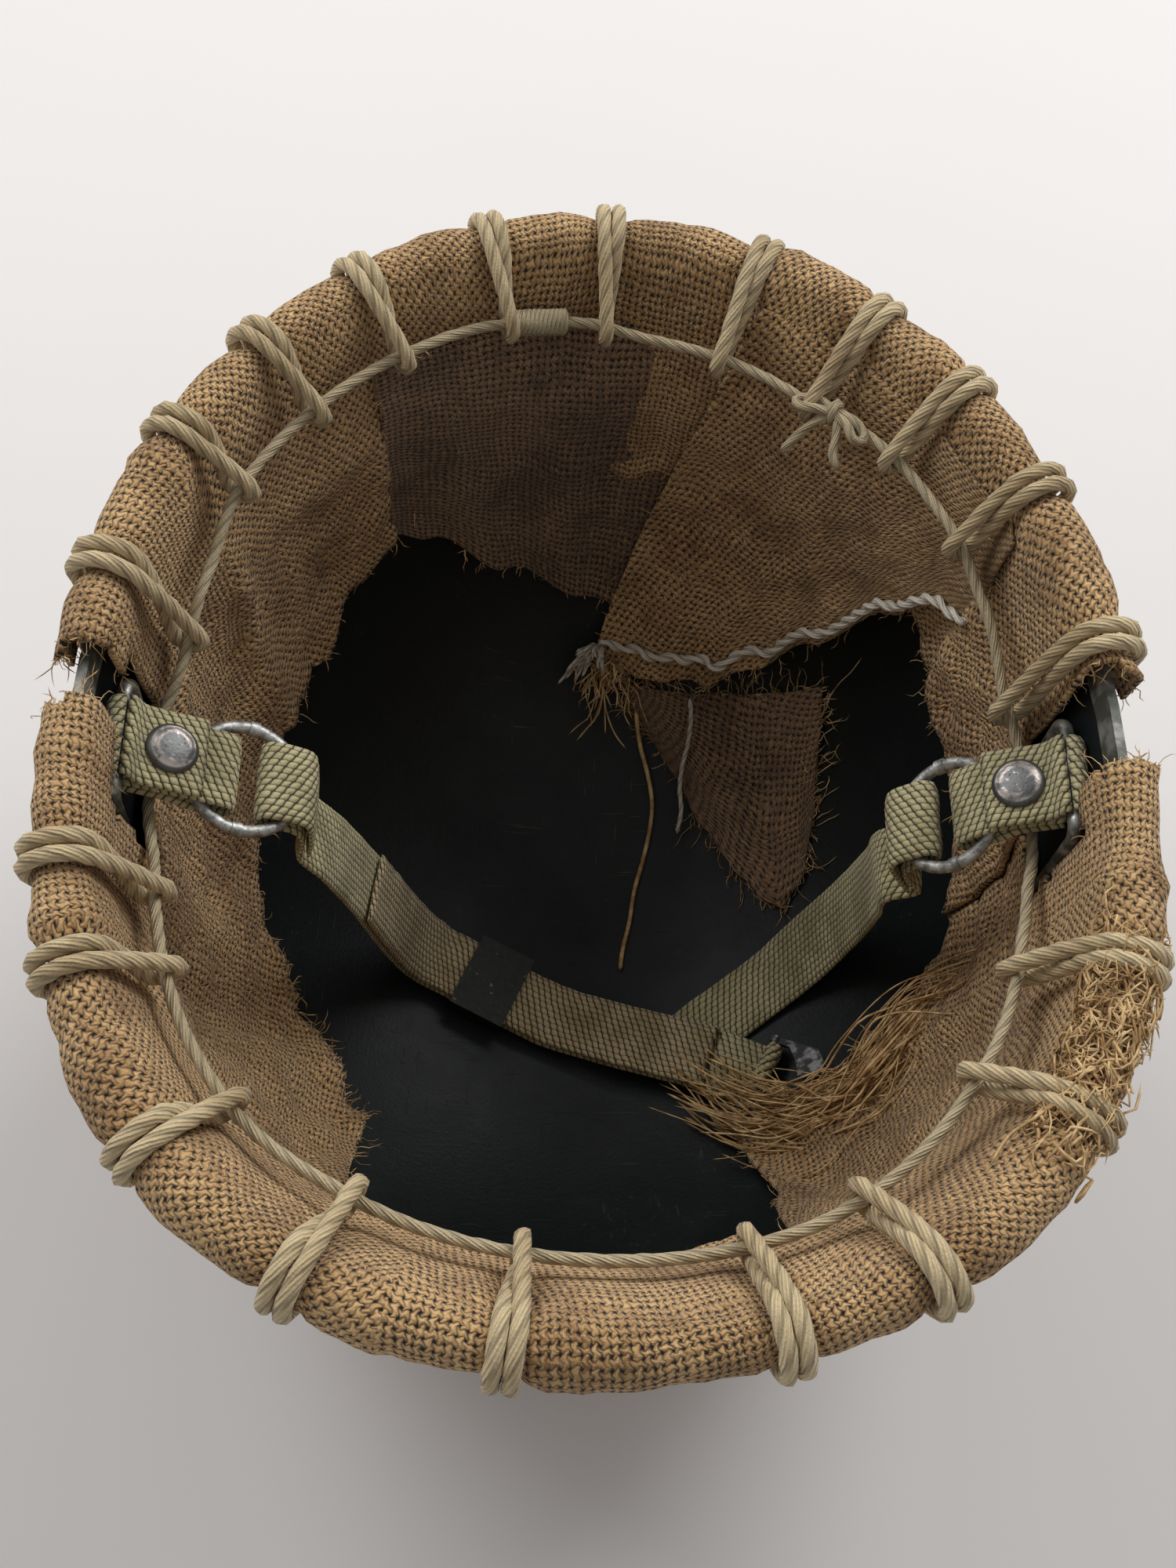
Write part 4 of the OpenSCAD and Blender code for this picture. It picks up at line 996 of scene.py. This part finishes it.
for side, name, bend in ((1, "right", right_slope - tab_slope), (-1, "left", 0.0)):
    b = math.radians(bend)

    def turned(x, z):
        return wire_at + Vector((x * math.cos(b) + z * math.sin(b), z * math.cos(b) - x * math.sin(b)))

    lower = [*arc(Vector((0, 0)), ply_mid, 92, 268, 8), Vector((5, -ply_mid)),
             Vector((tab_l - 3.5, -ply_mid)), turned(0.3, tab_end_r), turned(tab_end_l - 1, tab_end_r),
             *[turned(*q) for q in arc(Vector((tab_end_l, 0)), tab_end_r, 60, -60, 4)],
             turned(0.8, -tab_end_r), Vector((tab_l - 4, under_mid - 0.3)), Vector((2.5, under_mid))]
    upper = [Vector((seat_gap, ply_mid)), Vector((1.6, ply_mid - 0.1)),
             Vector((snap_at - 7.4, flap_mid + 0.5)), Vector((snap_at - 5.5, flap_mid)),
             Vector((20.5, flap_mid))]
    for part, body, points in (("tab", "helmet", lower), ("tab_flap", name + "_flap_body", upper)):
        web_mesh = bmesh.new()
        lay_web(web_mesh, [tab_point(p.x, p.y, side) for p in points], [straight_side] * len(points),
                step=1.6, seed=side + len(part), wide=web_w - (0.8 if part == "tab" else 0))
        close_up(web_mesh)
        piece = new_piece(f"{name}_{part}_web", web_mesh, body, [f"{name}_{part}"])
        web_olive.on(piece)

# Snaps
# Domed caps pressed from brass and blackened, rubbed bright in spots on the top, with a painted highlight in
# a bright ring below the top.
# The stud under each is clinched through the tab and is the frame's own solid.
cap_h = 2.4
cap_low = flap_mid + web_t / 2 + 0.1


def cap_finish(name, middle):
    made = Finish(name, Metallic=0.85)
    where = made.place
    far = where.node("ShaderNodeVectorMath", {"operation": "DISTANCE"}, {0: where, 1: tuple(middle)}, 1)
    # Painted highlight: the bright, smoother ring below the top of the dome. The bright spots on the top are
    # rubbed metal.
    ring = far.between(2.9, 4.3) * (1 - far.between(4.9, 5.6))
    highlight_and_rubbed = (ring * where.cloud(3.4, 4).between(0.36, 0.6)
            + 0.6 * where.cloud(1.7, 4).between(0.58, 0.72) * (1 - far.between(3.5, 4.5)))
    spots = where.cloud(0.9, 3).between(0.56, 0.7)
    colour = (0.5 * spots).colours(paint(104, 105, 104), paint(60, 59, 60))
    colour = highlight_and_rubbed.colours(colour, paint(208, 196, 188))
    made.set(Base_Color=colour, Roughness=0.46 - 0.18 * highlight_and_rubbed + 0.15 * spots)
    made.relief(where.cloud(0.8, 3) + 0.5 * where.cloud(3), 0.09)
    return made


stud_finish = Finish("stud_metal", Metallic=0.9)
stud_finish.set(Base_Color=stud_finish.place.cloud(2).colours(paint(120, 116, 104), paint(84, 80, 72)),
                Roughness=0.4 + 0.2 * stud_finish.place.cloud(1))
for side, name in ((1, "right"), (-1, "left")):
    cap_mesh = bmesh.new()
    profile = [(0, cap_h), (2.0, cap_h - 0.05), (3.6, cap_h - 0.25), (4.4, cap_h - 0.5),
               (4.75, cap_h - 0.72), (5.1, cap_h - 0.8), (5.6, cap_h - 1.0), (6.0, cap_h - 1.5), (6.2, 0.6),
               (6.1, 0.1), (5.6, -0.05), (4.6, 0.1), (2.6, 0.1), (2.4, -0.9), (1.9, -0.9)]
    ring = [cap_mesh.verts.new(Vector((x, 0, z)) * mm) for x, z in profile]
    edges = [cap_mesh.edges.new((ring[k], ring[k + 1])) for k in range(len(ring) - 1)]
    bmesh.ops.spin(cap_mesh, geom=ring + edges, cent=(0, 0, 0), axis=(0, 0, 1), angle=2 * math.pi,
                   steps=56, use_merge=True)
    close_up(cap_mesh)
    base, up = tab_point(snap_at, cap_low, side), tab_point(snap_at, cap_low + 1, side)
    bmesh.ops.transform(cap_mesh, verts=cap_mesh.verts, matrix=Matrix.Translation(base * mm)
                        @ (up - base).to_track_quat("Z", "Y").to_matrix().to_4x4())
    cap = new_piece(f"{name}_cap_dome", cap_mesh, name + "_flap_body", [f"{name}_snap_cap"])
    cap_finish(f"{name}_cap_metal", up + (up - base) * (cap_h - 1)).on(cap)
    stud_finish.on(nodes[f"{name}_snap_stud"])

# Rings
# Each is bent from 3 mm galvanised wire and closed with a small weld, and hangs in its tab.
zinc = Finish("zinc_wire", Metallic=0.7)
where = zinc.place
mottle = where.cloud(2.6, 4)
zinc.set(Base_Color=mottle.between(0.34, 0.66).colours(paint(126, 126, 122), paint(196, 196, 192)),
         Roughness=0.34 + 0.3 * where.cloud(1.8, 3))
zinc.relief(where.cloud(0.9, 3) + 0.6 * mottle, 0.16)
for name in ("left_ring", "right_ring"):
    zinc.on(nodes[name])

# Chin straps
# Two lengths of 20 mm cotton web. Each turns round its ring, hangs down and lies across the bowl.
# The left one has a second, browner ply with a stitched end; the right one passes under it.
loop_r = ring_wire / 2 + seat_gap + web_t / 2 + 0.05
loop_in = 7.0
strap_loop = [(8.6, -15.5), (7.2, -9.5), (5.4, -4.4), (3.2, 0.6), (0, loop_r)] \
    + [(-loop_in + loop_r * math.cos(math.radians(g)), loop_r * math.sin(math.radians(g)))
       for g in range(90, 271, 30)] \
    + [(0, -loop_r), (2.2, -loop_r - 1.2), (4.2, -7.2), (5.6, -11.5), (6.8, -17)]
left_route = [(-66.5, 0, 108, 0.04, 1, 0), (-62.5, 2, 92, 0.1, 1, 0), (-58, 4, 72, 0.17, 1, 0),
              (-54, 5.5, 53, 0.24, 1, 0), (-49.8, 6.8, 35, 0.32, 1, 0), (-44.5, 7.3, 19.5, 0.38, 1, 0),
              (-36.5, 5.8, 4.4, 0.43, 1, 1), (-5, -8, 3, 0.43, 1, 1), (8, -12.5, 4.4, 0.4, 1, 1),
              (20, -16.5, 6, 0.38, 1, 1), (32, -20, 6.2, 0.42, 1, 1), (44, -24, 5.6, 0.5, 1, 1)]
right_route = [(77.5, 0, 108, -0.04, 1, 0), (79, 4, 88, -0.1, 1, 0), (79, 7, 68, -0.18, 1, 0),
               (76.5, 8, 49, -0.28, 1, 0), (71, 6, 33, -0.42, 1, 0), (63, 1.5, 3.2, -0.55, 1, 1),
               (53, -5, 1.4, -0.62, 1, 1), (41, -13.5, 1.2, -0.75, 1, 1), (31, -22.5, 1.2, -0.85, 1, 1)]
hook_bar_at, hook_tilt, hook_r = (56.5, -30.0, 7.5), 34.0, 1.6


def wire_point(slope, far, side):
    p = tab_point(wire_at.x, wire_at.y, side)
    t = math.radians(slope)
    return p + far * Vector((-side * math.cos(t), 0, -math.sin(t)))


def loop_round_ring(slope, side):
    """The web's way round the far wire of a ring."""
    far, t = wire_point(slope, ring_d, side), math.radians(slope)
    e = Vector((-side * math.cos(t), 0, -math.sin(t)))
    n = Vector((-side * math.sin(t), 0, math.cos(t)))
    return [far + q[0] * e + q[1] * n for q in strap_loop]


def laid(x, y, lift):
    """A point on the floor of the bowl for a web lifted off it."""
    return Vector((x, y + mid_y, bowl_height(x, y + mid_y) + lift + web_t / 2))


def route(rows):
    """Points of a route and the direction of the web's width at each."""
    points, sides = [], []
    for x, y, z, side_x, side_y, lies in rows:
        points.append(laid(x, y, z) if lies else Vector((x, y + mid_y, crown_z + z)))
        d = Vector((side_x, side_y, 0)).normalized()
        if lies:
            d.z = (bowl_height(x + 5 * d.x, y + mid_y + 5 * d.y)
                   - bowl_height(x - 5 * d.x, y + mid_y - 5 * d.y)) / 10
        sides.append(d.normalized())
    return points, sides


hook_dir = Vector((1, -0.56, 0)).normalized()
hook_side = Vector((0.56, 1, 0)).normalized()
hook_bar = laid(*hook_bar_at)
hook_up = Vector((0, 0, 1))
hook_turn = hook_r + seat_gap + web_t / 2
t = math.radians(hook_tilt)
hook_out = math.cos(t) * hook_dir + math.sin(t) * hook_up
hook_over = math.cos(t) * hook_up - math.sin(t) * hook_dir
hook_end = []
for g in range(-90, 91, 30):
    t = math.radians(g)
    hook_end.append(hook_bar + hook_turn * (math.cos(t) * hook_out + math.sin(t) * hook_over))
left_points, left_sides = route(left_route)
left_loop = loop_round_ring(tab_slope, -1)
left_line = left_loop + left_points + hook_end
left_widths = [straight_side] * len(left_loop) + left_sides + [hook_side] * len(hook_end)
strap_mesh = bmesh.new()
lay_web(strap_mesh, left_line, left_widths, seed=2)
close_up(strap_mesh)
left_strap = new_piece("left_strap_web", strap_mesh, replaces=["left_strap"])
web_olive.on(left_strap)

ply_from, ply_to = len(left_loop) + 2, len(left_loop) + len(left_route)
ply_points = []
for k in range(ply_from, ply_to):
    head = (left_line[k + 1] - left_line[k - 1]).normalized()
    ply_points.append(left_line[k] + (web_t + seat_gap + 0.05) * head.cross(left_widths[k]).normalized())
ply_mesh = bmesh.new()
lay_web(ply_mesh, ply_points, left_widths[ply_from:ply_to], wide=web_w - 0.6, seed=6, ragged=0.8)
close_up(ply_mesh)
ply = new_piece("left_strap_ply_web", ply_mesh, replaces=["left_strap_ply"])
web_brown.on(ply)

right_points, right_sides = route(right_route)
right_loop = loop_round_ring(right_slope, 1)
out = (right_points[-1] - right_points[-2]).normalized()
lift = right_sides[-1].cross(out).normalized()
if lift.z < 0:
    lift = -lift
fold_r = web_t / 2 + seat_gap
fold = [right_points[-1] + fold_r * (math.cos(math.radians(g)) * out + (1 + math.sin(math.radians(g))) * lift)
        for g in (-60, 0, 60, 120)]
fold.append(right_points[-1] - 6 * out + 2 * fold_r * lift)
strap_mesh = bmesh.new()
lay_web(strap_mesh, right_loop + right_points + fold,
        [straight_side] * len(right_loop) + right_sides + [right_sides[-1]] * len(fold), seed=4)
close_up(strap_mesh)
right_strap = new_piece("right_strap_web", strap_mesh, replaces=["right_strap"])
web_olive.on(right_strap)

# Torn threads and stitching
# All raw edges of the jute have frayed. A bundle of pulled threads lies over the torn right rear
# corner, and the flap's hem is finished with a white chain-stitched cord, one end of it loose.
chance = random.Random(11)


def clear_of_bowl(p, lift):
    """The same place, no lower than a height above the bowl."""
    if abs(p.x) < 104 and abs(p.y) < 104:
        p.z = max(p.z, bowl_height(p.x, p.y) + lift)
    return p


def fray(bm, edges, count, longest, thick=0.3):
    """Short loose threads that leave an edge, curl and droop."""
    droop = Vector((0, 0, -0.12))
    for n in range(count):
        p, way = chance.choice(edges)
        # None where the rim's cloth is whole, and none in the way of the snap flaps
        if p.z > 165 and abs(p.y - mid_y) > 30 or abs(p.x) > 95 and p.z < 172 and abs(p.y - mid_y) < 22:
            continue
        tufted = 0.5 + 0.5 * rumple(p, 6, 51)
        reach_out = 2.5 + longest * chance.random() ** 2 * (0.4 + tufted)
        d = way + Vector([chance.uniform(-0.7, 0.7) for k in range(3)])
        q = p - way * 1.2
        points = [q]
        for k in range(4):
            d += Vector([chance.uniform(-0.8, 0.8) for m in range(3)]) + droop
            d.normalize()
            q = clear_of_bowl(q + d * reach_out / 4, 0.6)
            points.append(q.copy())
        lay_cord(bm, points, thick * chance.uniform(0.6, 1.3), strands=0, sides=3, step=2.6)


fray_mesh = bmesh.new()
for name, count, longest in (("cover_cloth", 1700, 7), ("flap_cloth", 260, 6), ("hanging_cloth", 420, 12),
                             ("pleat_cloth", 160, 6)):
    fray(fray_mesh, frayed[name], count, longest)


def pulled_out(points, step=2.6):
    """One thread pulled out of the cloth."""
    lay_cord(fray_mesh, points, chance.uniform(0.3, 0.8), strands=0, sides=4, step=step)


# The bundle of pulled threads at the right rear, out from the rim and across the bowl
bundle = [Vector((112, -30, 112)), Vector((106, -29, 92)), Vector((97, -29, 71)), Vector((88, -40, 61)),
          Vector((80, -49, 54)), Vector((71, -54, 46)), Vector((61, -54, 39)), Vector((49, -48, 30)),
          Vector((37, -38, 23))]
for n in range(190):
    first, last = chance.randrange(0, 6), chance.randrange(7, len(bundle) + 1)
    shift = Vector([chance.gauss(0, 3.2) for k in range(3)])
    spread = chance.uniform(0.6, 1.5)
    points = []
    for k in range(first, last):
        wander = Vector([chance.gauss(0, 2.2) for m in range(3)])
        points.append(clear_of_bowl(bundle[k] + shift * spread * (0.6 + 0.14 * k) + wander, 4.5))
    pulled_out(points, 3)
# Shredded cloth over the rim at the right rear, and a tangle at the large flap's lower corner
for n in range(260):
    a, t = chance.uniform(316, 338), chance.uniform(60, 175)
    points = []
    for k in range(5):
        p = over_rim(t, a, cover_off + roll_room + 4.2 + chance.uniform(0, 2.2), roll_lift)
        points.append(p)
        a, t = a + chance.gauss(0, 1.3), t + chance.gauss(4, 16)
    pulled_out(points)
corner = flap_place(0.97, 0.98)
for n in range(110):
    p = corner + Vector((chance.gauss(3, 4), chance.gauss(-1, 2.5), chance.gauss(0, 2)))
    d = Vector((chance.gauss(0.2, 0.5), -1, 0)).normalized()
    far, points = chance.uniform(6, 26) * chance.random(), [p]
    for k in range(4):
        wander = Vector([chance.gauss(0, 1.1) for m in range(3)])
        p = clear_of_bowl(p + far / 4 * d + wander - Vector((0, 0, far / 9)), 1.0)
        points.append(p.copy())
    pulled_out(points)
close_up(fray_mesh, 0.002)
threads = new_piece("torn_threads", fray_mesh)
thread_jute = Finish("thread_jute", Roughness=0.9, Specular_IOR_Level=0.25)
where = thread_jute.place
thread_soiled = where.cloud(5, 3).between(0.35, 0.65)
thread_jute.set(Base_Color=thread_soiled.colours(paint(224, 192, 142), paint(164, 130, 88)))
thread_jute.relief(where.cloud(0.6), 0.1)
thread_jute.on(threads)


def lying(x, y, lift):
    return Vector((x, y, bowl_height(x, y) + lift))


def free_thread(name, points, thick, finish, strands=2):
    """A loose cord with one end held in the cloth."""
    bm = bmesh.new()
    lay_cord(bm, points, thick, twist=4, strands=strands, sides=8, step=1.5)
    close_up(bm, 0.002)
    piece = new_piece(name, bm)
    finish.on(piece)
    way = smooth_way(points, 1.5)
    long = sum((way[k + 1] - way[k]).length for k in range(len(way) - 1))
    [p * mm for p in way]
    return piece


white_cotton = cord_finish("white_cotton", paint(246, 240, 224), paint(206, 196, 174), 0.35)
hem_mesh = bmesh.new()
hem = []
for k in range(33):
    f = 1 - k / 32
    p, q = flap_place(f, 0.95), flap_place(f, 0.9)
    inward = Vector((-p.x, -p.y, 0)).normalized()
    hem.append(p.lerp(q, 0.5 + 0.12 * math.sin(1.7 * k)) + 2.4 * inward + Vector((0, 0, 1.2)))
lay_cord(hem_mesh, hem, 3.4, twist=6, strands=2, sides=12, groove=0.3, step=1.2)
for n in range(26):
    q = hem[0] + Vector((chance.uniform(-1.5, 1.5), 0, chance.uniform(-1.5, 1.5)))
    d = Vector((chance.uniform(-1, 0.1), -0.6, chance.uniform(-0.7, 0.7)))
    end = q + chance.uniform(9, 15) * d + Vector((1, 0, -3))
    lay_cord(hem_mesh, [q, q + 3 * d, q + 7 * d + Vector((0, 0, -1)), end], 1.1, strands=0, sides=5, step=2)
close_up(hem_mesh, 0.002)
hem_piece = new_piece("flap_hem_cord", hem_mesh)
white_cotton.on(hem_piece)
hem_end = [(35.6, 78, 13), (36.4, 73, 11.5), (36.0, 67, 10), (34.6, 61, 9), (34.2, 55, 8), (35.0, 49, 6.5),
           (34.0, 43, 4)]
free_thread("loose_hem_cord", [lying(*p) for p in hem_end], 1.5, white_cotton)
long_pull = [(19.5, 78, 8), (21.5, 70, 5), (24.4, 62, 3.4), (26.2, 54, 2.4), (25.8, 46, 1.6), (24.0, 37, 1.4),
             (21.4, 27, 1.2), (20.0, 17, 1.2), (18.0, 8, 1.2), (17.2, 1, 1.2)]
free_thread("pulled_thread", [lying(*p) for p in long_pull], 1.4, thread_jute, strands=0)

# Keeper and hook plate
# A flat sleeve of black sheet metal slides on both plies of the left strap. The stamped hook
# plate turns on its bar in the strap's end. Both are worn to bare metal along their edges.
black = Finish("black_metal", Metallic=0.6)
where = black.place
chipped = where.cloud(3, 4).between(0.64, 0.72)
black.set(Base_Color=(0.6 * chipped).colours(paint(42, 43, 41), paint(142, 140, 134)),
          Roughness=0.42 + 0.2 * where.cloud(2))
black.relief(where.cloud(1.2, 3) - 0.4 * chipped, 0.1)
black.on(nodes["keeper"])

plate = Finish("hook_steel", Metallic=0.7)
where = plate.place
rubbed = where.cloud(4, 4).between(0.45, 0.64)
plate.set(Base_Color=rubbed.colours(paint(62, 64, 66), paint(150, 150, 148)),
          Roughness=0.44 - 0.14 * rubbed + 0.15 * where.cloud(1.5))
plate.relief(where.cloud(1.4, 3), 0.09)
plate.on(nodes["hook_plate"])
